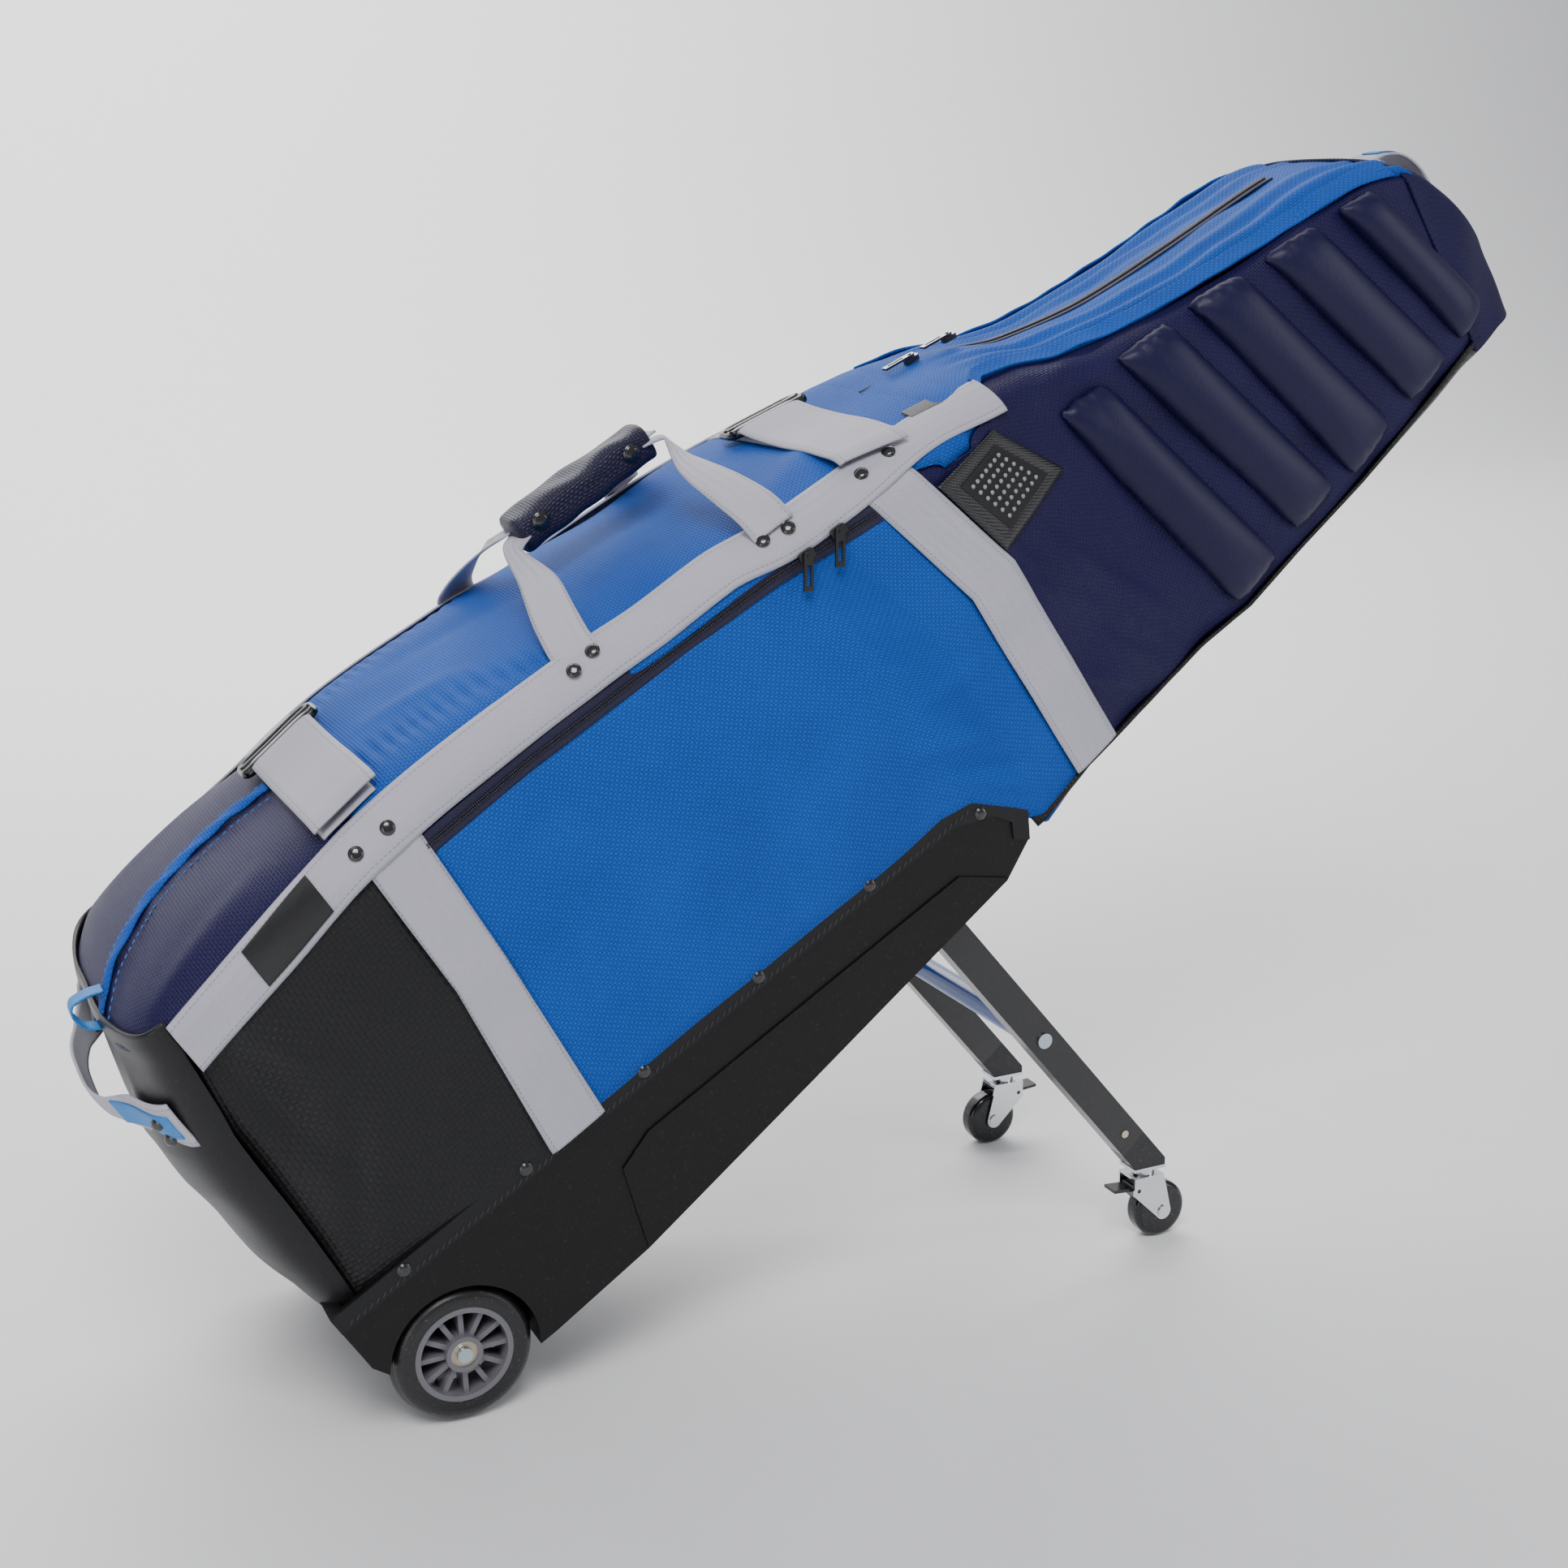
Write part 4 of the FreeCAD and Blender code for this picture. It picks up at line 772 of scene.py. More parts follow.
def depth_on_neck(places):
    """How far a place stands off the neck's side, in metres across the bag."""
    x, z = places[:, 0] - axle_place[0], places[:, 2] - axle_place[2]
    along = (x * math.cos(TILT) + z * math.sin(TILT)) * 1000.0
    up = (z * math.cos(TILT) - x * math.sin(TILT)) * 1000.0
    share = np.clip((up - shoulder_at(along)) / (top_at(along) - shoulder_at(along)), 0, 0.99)
    return np.abs(places[:, 1]) - half_at(along) * (1 - share ** 3) ** (1 / 3) / 1000.0


rolls = []
for number, corners in enumerate(roll_corners):
    form = stand(roll_form(corners, 70, 64, 17.5))
    rolls.append(grid_piece("roll_%d" % number, form, roll_cloth, body=None, closed=True,
                            flip=True))
rolls_right = join_pieces("neck_rolls_right", rolls)
merge_ends(rolls_right)
swell(rolls_right, 0.0045, 4.5, 0.008, depth_on_neck)
faces = rolls_right.data.polygons
faces.foreach_set("use_smooth", [True] * len(faces))
finer = rolls_right.modifiers.new("Finer", "SUBSURF")
finer.levels = 1
finer.render_levels = 1
baked(rolls_right)
mirror_mesh = rolls_right.data.copy()
mirror_places = read_places(mirror_mesh) * np.array([1.0, -1.0, 1.0])
mirror_mesh.vertices.foreach_set("co", mirror_places.ravel())
mirror_mesh.flip_normals()
rolls_left = bpy.data.objects.new("neck_rolls_left", mirror_mesh)
bpy.context.collection.objects.link(rolls_left)
for made in (rolls_right, rolls_left):
    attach(made, "cover")
    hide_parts("neck_rolls")


# ---- Zips ----
# Coil zips on navy tape: one under the long strap on each side of the bag, and one
# along the top of the neck. The coil shows as two rows of fine bumps.
def many(name, form, centres, turns, material, closed=True, body="cover"):
    """One mesh of many copies of a small grid: each is turned by its own three axes and
    moved to its own centre."""
    rows, columns = form.shape[:2]
    count = len(centres)
    placed = np.einsum("rck,nkj->nrcj", form, turns) + centres[:, None, None, :]
    index = np.arange(rows * columns).reshape(rows, columns)
    if closed:
        index = np.concatenate([index, index[:, :1]], 1)
    quads = np.stack([index[:-1, :-1], index[1:, :-1], index[1:, 1:], index[:-1, 1:]], -1)
    quads = quads.reshape(-1, 4)[None] + (np.arange(count) * rows * columns)[:, None, None]
    mesh = bpy.data.meshes.new(name)
    mesh.from_pydata(placed.reshape(-1, 3).tolist(), [], quads.reshape(-1, 4).tolist())
    mesh.polygons.foreach_set("use_smooth", [True] * len(mesh.polygons))
    mesh.uv_layers.new(name="Cloth")
    made = bpy.data.objects.new(name, mesh)
    bpy.context.collection.objects.link(made)
    mesh.materials.append(material)
    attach(made, body)
    return made


def bead(length, width, height, rows=5, columns=8):
    """A small closed pill: rings that follow a half ellipse along its length."""
    place = np.linspace(0, math.pi, rows)
    angle = np.linspace(0, 2 * math.pi, columns, endpoint=False)
    size = np.sin(place)[:, None] ** 0.6
    x = np.repeat(-np.cos(place)[:, None] * length / 2.0, columns, 1)
    return np.stack([x, size * np.cos(angle) * width / 2.0, size * np.sin(angle)
                     * height / 2.0], -1)


def frames_on(places, outward):
    """Axes at each place of a line: ahead, sideways and outwards."""
    ahead = np.gradient(places, axis=0)
    ahead /= np.linalg.norm(ahead, axis=1, keepdims=True)
    out = outward - (outward * ahead).sum(1, keepdims=True) * ahead
    out /= np.linalg.norm(out, axis=1, keepdims=True)
    return np.stack([ahead, np.cross(out, ahead), out], 1)


def evenly(line, pitch):
    """Points at an even pitch along a line of places."""
    run = np.concatenate([[0.0], np.cumsum(np.linalg.norm(np.diff(line, axis=0), axis=1))])
    count = max(2, int(run[-1] / pitch))
    at = (np.arange(count) + 0.5) * run[-1] / count
    return np.stack([np.interp(at, run, line[:, k]) for k in range(3)], -1)


def on_body(along, turn, lift):
    """Places on the body and the outward direction there, in metres."""
    along = np.asarray(along, float)
    turn = np.asarray(turn, float)
    here = stand(around(along, turn, lift))
    out = here - stand(around(along, turn, lift - 4.0))
    return here, out / np.linalg.norm(out, axis=-1, keepdims=True)


def stitch_run(along, turn, lift, pitch, length, width=0.0009, height=0.0008):
    """Centres and axes of stitches at an even pitch along a line on the body."""
    here, out = on_body(along, turn, lift)
    places = evenly(here, pitch)
    run = np.concatenate([[0.0], np.cumsum(np.linalg.norm(np.diff(here, axis=0), axis=1))])
    at = (np.arange(len(places)) + 0.5) * run[-1] / len(places)
    outward = np.stack([np.interp(at, run, out[:, k]) for k in range(3)], -1)
    return places, frames_on(places, outward)


def stitches(name, runs, length, material, width=0.0009, height=0.0008, both=True):
    """Rows of thread stitches, on the right side and, mirrored, on the left."""
    centres = np.concatenate([run[0] for run in runs])
    turns = np.concatenate([run[1] for run in runs])
    if both:
        swap = np.array([1.0, -1.0, 1.0])
        centres = np.concatenate([centres, centres * swap])
        turns = np.concatenate([turns, turns * swap * np.array([1.0, -1.0, 1.0])[:, None]])
    return many(name, bead(length, width, height), centres, turns, material)


zip_cloth = cloth_finish("Zip tape", (0.006, 0.005, 0.022), (0.014, 0.012, 0.05), 0.0011,
                         0.0003, 0.6, 0.2, (0.1, 0.1, 0.3))
coil = hard_finish("Zip coil", (0.006, 0.006, 0.012), (0.012, 0.011, 0.022), 0.35, 0.0006,
                   0.00003, dust=0.05)
zip_heights = (np.array([205.0, 217, 309, 424, 543, 639, 648]),
               np.array([361.5, 363, 367, 366, 363, 353, 351]))


def zip_line(along):
    return np.interp(along, *zip_heights)


along, offset = np.meshgrid(np.linspace(206, 644, 200), np.linspace(-8.0, 9.0, 9), indexing="ij")
up = zip_line(along) + offset
side_tape = both_sides("side_zip_tape", stand(around(along, turn_at_height(along, up), 0.9)),
                       zip_cloth, slot="zip_tape", thick=0.0015)
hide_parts("zip_tapes")
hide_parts("zip_tapes")
runs = []
for offset in (-1.1, 1.1):
    along = np.linspace(208, 642, 300)
    turn = turn_at_height(along, zip_line(along) + offset)
    runs.append(stitch_run(along, turn, 1.6, 0.0017, 0.0022))
teeth = stitches("side_zip_coil", runs, 0.0015, coil, 0.0024, 0.0018)

along, across = np.meshgrid(np.linspace(742, 1192, 200), np.linspace(-9.0, 9.0, 9),
                            indexing="ij")
top_tape = grid_piece("neck_zip_tape", stand(around(along, turn_at_side(along, across), 1.0)),
                      zip_cloth, slot="zip_tape", thick=0.0015)
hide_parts("zip_tapes")
runs = []
for across in (-1.1, 1.1):
    along = np.linspace(744, 1190, 300)
    runs.append(stitch_run(along, turn_at_side(along, across + 0 * along), 1.6, 0.0017, 0.0022))
teeth = stitches("neck_zip_coil", runs, 0.0015, coil, 0.0024, 0.0018, both=False)
zip_black = hard_finish("Zip enamel", (0.008, 0.008, 0.009), (0.015, 0.015, 0.016), 0.24, 0.0006,
                        0.00003, coat=0.5, dust=0.05)
dress(zip_black, *[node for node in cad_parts
                   if node.startswith(("side_slider", "side_pull", "top_slider", "top_pull"))])


# ---- Webbing straps ----
# Grey nylon webbing 50 mm wide, woven in fine chevrons and sewn down near both edges:
# a long strap over each shoulder and two uprights on each side down to the base.
web, given, result = new_group("Chevron webbing", {"Rib": 0.0011, "Half width": 0.02,
                               "Inset": 0.003, "Pitch": 0.0042}, ("Height", "Painted rib shade",
                                                                  "Stitch", "Tone"))
place = add(web, "TexCoord").outputs["UV"]
axes = add(web, "SeparateXYZ", {0: place}).outputs
zig = maths(web, "PINGPONG", axes[1], 0.0045)
phase = maths(web, "DIVIDE", maths(web, "ADD", axes[0], zig), given["Rib"])
rib = maths(web, "ABSOLUTE", maths(web, "SINE", maths(web, "MULTIPLY", phase, math.pi)))
edge = maths(web, "SUBTRACT", maths(web, "ABSOLUTE", axes[1]),
             maths(web, "SUBTRACT", given["Half width"], given["Inset"]))
line = maths(web, "LESS_THAN", maths(web, "ABSOLUTE", edge), 0.0005)
dash = maths(web, "LESS_THAN", maths(web, "FRACT", maths(web, "DIVIDE", axes[0],
                                                         given["Pitch"])), 0.68)
stitch = maths(web, "MULTIPLY", line, dash)
web.links.new(maths(web, "MULTIPLY_ADD", stitch, 1.2, rib), result["Height"])
# Painted shade: the webbing's colour darkens in the grooves between its ribs.
web.links.new(rib, result["Painted rib shade"])
web.links.new(stitch, result["Stitch"])
web.links.new(add(web, "TexNoise", {"Vector": place, "Scale": 16.0, "Detail": 5.0}).outputs[0],
              result["Tone"])


def webbing_finish(name, dark, colour, thread, half_width, depth=0.0004, rough=0.7, sheen=0.2,
                   inset=0.003):
    """Chevron webbing: ribs with painted shade in the grooves between them, a slow change of tone, and a
    dashed stitch near each edge.
    """
    material = bpy.data.materials.new(name)
    material.use_nodes = True
    tree = material.node_tree
    shader = tree.nodes["Principled BSDF"]
    seen = place_group(tree, web, {"Rib": 0.0016, "Half width": half_width, "Inset": inset,
                                   "Pitch": 0.0042})
    # Base colour: painted shade between the ribs mixed with a random slow tone.
    share = maths(tree, "MULTIPLY_ADD", seen["Painted rib shade"], 0.5,
                  maths(tree, "MULTIPLY", seen["Tone"], 0.5))
    woven = between(tree, share, dark, colour)
    tree.links.new(between(tree, seen["Stitch"], woven, thread), shader.inputs["Base Color"])
    tree.links.new(maths(tree, "MULTIPLY_ADD", seen["Painted rib shade"], -0.1, rough),
                   shader.inputs["Roughness"])
    bump = add(tree, "Bump", {"Height": seen["Height"], "Strength": 0.6, "Distance": depth})
    tree.links.new(bump.outputs[0], shader.inputs["Normal"])
    shader.inputs["Sheen Weight"].default_value = sheen
    shader.inputs["Sheen Tint"].default_value = (*colour, 1.0)
    return material


grey_web = webbing_finish("Grey webbing", (0.33, 0.32, 0.385), (0.47, 0.46, 0.53),
                          (0.27, 0.26, 0.32), 0.0205)
grey_wide = webbing_finish("Wide grey webbing", (0.33, 0.32, 0.38), (0.47, 0.46, 0.52),
                           (0.27, 0.26, 0.32), 0.029)


def turn_beside(along, turn, offsets, lift=0.0):
    """Turns at sideways distances in millimetres from a line on the body, measured
    round the section."""
    fine = np.linspace(-3.2, 5.2, 1700)
    points = around(along[:, None], fine[None, :], lift)
    run = np.concatenate([np.zeros((len(along), 1)), np.cumsum(
        np.linalg.norm(np.diff(points, axis=1), axis=-1), 1)], 1)
    start = [np.interp(value, fine, row) for value, row in zip(turn, run)]
    return np.array([np.interp(begin + offsets, row, fine) for begin, row in zip(start, run)])


long_line = (np.array([-12.0, 11, 80, 176, 250, 325, 387, 447, 510, 567, 658, 722, 797]),
             np.array([349.0, 355, 371, 391, 396, 397, 396, 392, 391, 384, 377, 371, 357]))


def strap_centre(along):
    return turn_at_height(along, eased(along, *long_line))


def web_profile(offsets, half, thick):
    """Slight crown of a strap: full in the middle and easing down at its edges."""
    return thick * (1 - np.abs(offsets / half) ** 6) ** 0.5


offsets = np.linspace(-21.0, 21.0, 15)
along = np.linspace(-10.0, 795.0, 420)
turn = turn_beside(along, strap_centre(along), offsets)


def strap_lift(along, offsets):
    """How far the long strap's face stands off the body: a crown across it, slow waves
    along it, and a rise where it passes over the cross straps."""
    along = along[:, None]
    return (2.6 + web_profile(offsets, 21.2, 1.4)[None, :]
            + 0.7 * waves(along, offsets[None, :], 61, 130.0)
            + 1.5 * np.exp(-((along - 184.0) / 34.0) ** 2)
            + 1.5 * np.exp(-((along - 672.0) / 34.0) ** 2))


lift = strap_lift(along, offsets)
long_straps = both_sides("long_strap", stand(around(along[:, None], turn, lift)), grey_web,
                         slot="grey_webbing", thick=0.0018)
for made in long_straps:
    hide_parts("body_straps")


def upright(name, heights, left, right, low, high):
    """A side strap between two edges given by height, from low to high."""
    up, share = np.meshgrid(np.linspace(low, high, 160), np.linspace(0, 1, 13), indexing="ij")
    edge_left, edge_right = np.interp(up, heights, left), np.interp(up, heights, right)
    along = edge_left + (edge_right - edge_left) * share
    lift = (1.8 + 1.4 * (1 - np.abs(2 * share - 1) ** 6) ** 0.5
            + 0.6 * waves(along, up, 63, 110.0))
    made = both_sides(name, stand(around(along, turn_at_height(along, up), lift)), grey_wide_up,
                      slot="grey_webbing", thick=0.0016)
    for strap in made:
        strap.data.flip_normals()
        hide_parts("body_straps")
    return made


grey_wide_up = webbing_finish("Upright webbing", (0.34, 0.33, 0.395), (0.48, 0.47, 0.545),
                              (0.27, 0.26, 0.32), 0.025)
upright("lower_upright", strap_heights, lower_left, lower_right, 96.0, 379.0)
upright("upper_upright", upper_heights, upper_left, upper_right, 50.0, 378.0)


# ---- Compression straps and buckles ----
# Two straps over the top of the bag. Each runs through a black plastic buckle on the
# far side and is folded back as a wide grey tab with a sewn hem.
def cross_band(name, start, end, from_side, to_side, lift_line, rows=120, columns=15,
               material=grey_wide, thick=0.0018):
    """A band across the top from one sideways distance to another."""
    share, along = np.meshgrid(np.linspace(0, 1, rows), np.linspace(start, end, columns),
                               indexing="ij")
    low = turn_at_side(along, from_side + 0 * along)
    high = turn_at_side(along, to_side + 0 * along)
    wide = (along - start) / (end - start)
    lift = lift_line(share) + 1.2 * (1 - np.abs(2 * wide - 1) ** 6) ** 0.5
    return grid_piece(name, stand(around(along, low + (high - low) * share, lift)), material,
                      slot="grey_webbing", thick=thick, flip=True)


for name, start, end, buckle in (("lower", 157.0, 209.0, "lower_buckle"),
                                 ("upper", 647.0, 699.0, "upper_buckle")):
    band = cross_band(name + "_band", start, end, -138.0, 138.0, lambda share: 2.4 + 0 * share)
    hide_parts("compression_straps")
    tab = cross_band(name + "_tab", start - 3.0, end + 6.0, -136.0, 47.0,
                     lambda share: 6.8 + 4.5 * np.exp(-((share - 0.04) / 0.1) ** 2)
                     + 5.0 * np.exp(-((share - 0.97) / 0.12) ** 2)
                     + 1.5 * np.sin(share * 9.0))
    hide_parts("compression_straps")
    hem = cross_band(name + "_hem", start - 3.0, end + 6.0, -136.5, -121.0,
                     lambda share: 11.2 + 1.0 * np.sin(share * 3.1), rows=14, thick=0.002)
    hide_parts("compression_straps")


def tube_along(name, spine, radii, material, out, sides=14, capped=False, **words):
    """A round bar along a line: an ellipse of the given radii set square to it. A capped
    bar has a first and last ring more, drawn in to a point."""
    if capped:
        spine = np.concatenate([spine[:1], spine, spine[-1:]])
    turns = frames_on(spine, np.broadcast_to(np.array(out, float), spine.shape).copy())
    angle = np.linspace(0, 2 * math.pi, sides, endpoint=False)
    ends = np.ones(len(spine))
    if capped:
        ends[[0, -1]] = 0.0
    ring = (np.cos(angle)[None, :, None] * turns[:, 1][:, None, :] * radii[0]
            + np.sin(angle)[None, :, None] * turns[:, 2][:, None, :] * radii[1])
    return grid_piece(name, spine[:, None, :] + ring * ends[:, None, None], material,
                      closed=True, **words)


buckle_black = hard_finish("Buckle plastic", (0.006, 0.006, 0.0065), (0.011, 0.011, 0.012), 0.27,
                           0.0009, 0.00004, coat=0.2, dust=0.08)
for name, centre in (("lower", 184.0), ("upper", 676.0)):
    angle = np.linspace(0, 2 * math.pi, 73)
    reach = (np.abs(np.cos(angle)) ** 6 + np.abs(np.sin(angle)) ** 6) ** (-1 / 6)
    along = centre + 36.0 * np.cos(angle) * reach
    across = 50.0 + 15.0 * np.sin(angle) * reach
    here, out = on_body(along, turn_at_side(along, across), 9.5)
    rim = tube_along(name + "_buckle_rim", here, (0.0042, 0.0036), buckle_black, out.mean(0),
                     slot="buckle_plastic")
    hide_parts("compression_buckles")
    for number, side in enumerate((38.0, 50.0)):
        along = np.linspace(centre - 37.0, centre + 37.0, 30)
        here, out = on_body(along, turn_at_side(along, side + 0 * along), 11.0)
        bar = tube_along("%s_buckle_bar_%d" % (name, number), here, (0.0046, 0.0034),
                         buckle_black, out.mean(0), capped=True, slot="buckle_plastic")
        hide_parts("compression_buckles")


# ---- Rivets ----
# Black domed rivets with a flat rim: six along the base's flange on each side, pairs
# where straps cross, two at each end of the end handles, and the grip's two snaps.
rivet_black = hard_finish("Rivet enamel", (0.007, 0.007, 0.008), (0.014, 0.014, 0.015), 0.2,
                          0.0006, 0.00002, coat=0.6, dust=0.05)


def dome(radius, height, rows=9, columns=20):
    """A rivet head: a flat back, a rim, a small step and a round dome closed at its top."""
    share = np.linspace(0, 1, rows)
    reach = np.concatenate([[0.0, 1.0, 1.0, 0.86, 0.8], 0.8 * np.cos(share[1:] * math.pi / 2)])
    rise = np.concatenate([[0.0, 0.0, 0.28, 0.36, 0.5], 0.5 + 0.5 * np.sin(share[1:] * math.pi / 2)])
    angle = np.linspace(0, 2 * math.pi, columns, endpoint=False)
    return np.stack([reach[:, None] * np.cos(angle) * radius,
                     reach[:, None] * np.sin(angle) * radius,
                     np.repeat(rise[:, None] * height, columns, 1)], -1)


def axes_from(outward):
    """Three axes for each outward direction."""
    guide = np.array([math.cos(TILT), 0.0, math.sin(TILT)])
    ahead = guide - (outward * guide).sum(1, keepdims=True) * outward
    ahead /= np.linalg.norm(ahead, axis=1, keepdims=True)
    return np.stack([ahead, np.cross(outward, ahead), outward], 1)


rivet_low, rivet_high = (np.array(corner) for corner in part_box("flange_strips"))
flange_places = np.array([(7.0, 98.5), (125.0, 98.5), (243.0, 98.5), (361.0, 98.5),
                          (479.0, 98.5), (592.0, 84.0)])
face = -rivet_low[1] * 1000.0
flange = stand(np.stack([flange_places[:, 0], -face + 0 * flange_places[:, 0],
                         flange_places[:, 1]], -1))
strap_spots = np.array([(168.0, 389.0), (197.0, 391.0), (375.0, 397.0), (396.0, 398.0),
                        (553.0, 386.0), (575.0, 383.0), (652.0, 377.0), (684.0, 374.0)])
here, out = on_body(strap_spots[:, 0], turn_at_height(strap_spots[:, 0], strap_spots[:, 1]), 5.2)
centres = np.concatenate([flange, here])
outward = np.concatenate([np.repeat([[0.0, -1.0, 0.0]], len(flange), 0), out])
swap = np.array([1.0, -1.0, 1.0])
centres = np.concatenate([centres, centres * swap])
outward = np.concatenate([outward, outward * swap])
caps = many("rivet_caps", dome(0.0058, 0.0026), centres, axes_from(outward), rivet_black)
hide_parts("cover_rivets")


# ---- Flange strips ----
# Bound black strips along the base's top edge, sewn through with heavy black thread.
dress(cloth_finish("Flange binding", (0.005, 0.005, 0.006), (0.014, 0.014, 0.016), 0.0018,
                   0.0004, 0.55, 0.1, (0.2, 0.2, 0.2)), "flange_strips")
black_thread = hard_finish("Black thread", (0.012, 0.012, 0.013), (0.025, 0.025, 0.027), 0.55,
                           0.0005, 0.0001, dust=0.0)
along = np.linspace(-50.0, 585.0, 400)
line = stand(np.stack([along, -face - 0.2 + 0 * along, 92.8 + 0 * along], -1))
places = evenly(line, 0.0062)
out = np.repeat([[0.0, -1.0, 0.0]], len(places), 0)
turns = frames_on(places, out)
slant = math.radians(35.0)
mix = turns.copy()
mix[:, 0] = turns[:, 0] * math.cos(slant) + turns[:, 1] * math.sin(slant)
mix[:, 1] = turns[:, 1] * math.cos(slant) - turns[:, 0] * math.sin(slant)
flange_thread = stitches("flange_thread", [(places, mix)], 0.0058, black_thread, 0.0014, 0.0011)


# ---- Carry handle ----
# Two webbing loops sewn under the long straps and gathered by a padded wrap of navy
# cloth that closes with two black snaps.
def ribbon(name, spine, wide, material, thick=0.0018, columns=9, body="cover",
           slot="grey_webbing", curl=0.0, replaces=(), flip=False):
    """A strap along a smooth line: its edges lie at plus and minus a sideways vector."""
    share = np.linspace(-1, 1, columns)
    places = spine[:, None, :] + share[None, :, None] * wide[:, None, :]
    if curl:
        normal = np.cross(np.gradient(spine, axis=0), wide)
        normal /= np.linalg.norm(normal, axis=1, keepdims=True)
        places = places + normal[:, None, :] * (curl * share ** 2)[None, :, None]
    made = grid_piece(name, places, material, body=body, slot=slot, thick=thick, flip=flip)
    made.modifiers["Thickness"].offset = 0.0
    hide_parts(*replaces)
    return made


def bend_line(points, count):
    """A smooth line through points: each coordinate is an eased curve of the distance."""
    points = np.array(points, float)
    run = np.concatenate([[0.0], np.cumsum(np.linalg.norm(np.diff(points, axis=0), axis=1))])
    at = np.linspace(0, run[-1], count)
    return np.stack([eased(at, run, points[:, k]) for k in range(points.shape[1])], -1)


handle_web = webbing_finish("Handle webbing", (0.34, 0.33, 0.39), (0.5, 0.49, 0.555),
                            (0.29, 0.28, 0.34), 0.0185)
for side, word in ((-1.0, "right"), (1.0, "left")):
    for foot, end, mouth in ((386.0, 430.0, "low"), (566.0, 556.0, "high")):
        sign = 1.0 if end > foot else -1.0
        grip_in = end + (10.0 if foot < 500 else -10.0)
        points = [(foot, side * 158.0, 392.0), (foot, side * 149.0, 406.0),
                  (foot + (end - foot) * 0.15, side * 120.0, 424.0),
                  (foot + (end - foot) * 0.5, side * 70.0, 446.0),
                  (end - (14.0 if foot < 500 else -14.0), side * 20.0, 461.0),
                  (grip_in, side * 4.0, 464.0)]
        line = bend_line(points, 60)
        share = np.linspace(0, 1, 60)[:, None]
        turn = np.clip(share * 1.25 - 0.15, 0, 1) ** 1.3 * math.pi / 2.0
        half = 19.0 - 5.0 * share
        wide = np.concatenate([np.cos(turn) * half,
                               side * -np.sin(turn) * half * (1.0 if foot < 500 else -1.0) * -1.0,
                               0.0 * share - np.sin(turn) * 2.0], 1)
        ribbon("handle_%s_%s" % (mouth, word), stand(line), stand(line + wide) - stand(line),
               handle_web, curl=0.002, replaces=("carry_webbing",))

grip_cloth = cloth_finish("Grip cloth", (0.003, 0.0025, 0.012), (0.014, 0.011, 0.045), 0.0026,
                          0.0007, 0.45, 0.08, (0.12, 0.11, 0.3))
place, angle = np.meshgrid(np.linspace(0, 1, 90), np.linspace(0, 2 * math.pi, 72,
                           endpoint=False), indexing="ij")
reach = (np.abs(np.cos(angle)) ** 4 + np.abs(np.sin(angle)) ** 4) ** (-1 / 4)
ends = (1 - np.abs(2 * place - 1) ** 40) ** 0.5
fullness = 1.0 + 0.05 * np.sin(place * math.pi) + 0.015 * np.sin(place * 25.0)
half_y, half_z = 21.0, 15.5
overlap = 1.6 * (np.sin(angle) < -0.55) * (np.cos(angle) < 0)
across = -np.cos(angle) * reach * (half_y + overlap) * ends * fullness
up = np.sin(angle) * reach * half_z * ends * fullness
up = up + 1.2 * waves(place * 140.0, angle * 20.0, 71, 60.0) * ends
grip = grid_piece("grip_wrap", stand(np.stack([424.0 + 138.0 * place, across, 463.0 + up], -1)),
                  grip_cloth, closed=True, slot="navy_fabric", flip=False)
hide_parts("handle_grip")
snap_at = np.array([(447.0, -22.6, 466.0), (539.0, -22.6, 466.0)])
snaps = many("grip_snaps", dome(0.0072, 0.0032), stand(snap_at), axes_from(
    np.repeat([[0.0, -1.0, 0.0]], 2, 0)), rivet_black)
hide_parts("cover_rivets")


# ---- End handles ----
# A webbing handle across the foot and one over the head: grey webbing with a light blue
# strip sewn along its ends, narrowed to a folded grip in the middle, riveted twice.
lining = webbing_finish("Blue lining", (0.005, 0.11, 0.36), (0.02, 0.26, 0.68),
                        (0.01, 0.16, 0.5), 0.0115, 0.0003, 0.6, 0.1)
narrow_web = webbing_finish("Edge webbing", (0.34, 0.33, 0.39), (0.5, 0.49, 0.555),
                            (0.28, 0.27, 0.33), 0.0205, inset=0.0035)


def end_surface(across, up):
    """Place along the bag of the foot end panel at a sideways distance and a height."""
    depth = np.interp(up, [98, 160, 230, 300, 366, 380], [38, 50, 57, 53, 44, 36])
    share = np.clip(np.abs(across) / half_at(corner_edge(up)), 0, 0.999)
    return corner_edge(up) - depth * (1 - share ** 2.7) ** (1 / 2.7)


across = np.linspace(-147.0, 147.0, 120)
middle = np.interp(across, [-147, 0, 147], [300.0, 318.0, 330.0])
stand_off = 2.5 + 24.0 * np.exp(-(np.abs(across / 78.0)) ** 4)
outward = end_surface(across, middle) - stand_off
spine = stand(np.stack([outward, across, middle], -1))
half = 10.5 + 10.5 * np.clip((np.abs(across) - 62.0) / 40.0, 0, 1)
up_line = np.array([-math.sin(TILT), 0.0, math.cos(TILT)])
ribbon("foot_handle", spine, up_line * half[:, None] / 1000.0, narrow_web, thick=0.0022,
       curl=0.0008, replaces=("end_handles",))
for name, start, end in (("near", -143.0, -72.0), ("far", 72.0, 143.0)):
    part = np.linspace(start, end, 50)
    out = np.interp(part, across, outward) - 1.6
    strip = stand(np.stack([out, part, np.interp(part, across, middle)], -1))
    ribbon("foot_handle_lining_" + name, strip, up_line * 0.0112 * np.ones((50, 1)), lining,
           thick=0.0012, replaces=("end_handles",))
caps_at = np.array([(-128.0, 305.0), (-128.0, 289.0), (126.0, 322.0), (126.0, 306.0)])
caps_out = np.interp(caps_at[:, 0], across, outward) - 2.8
centres = stand(np.stack([caps_out, caps_at[:, 0], caps_at[:, 1]], -1))
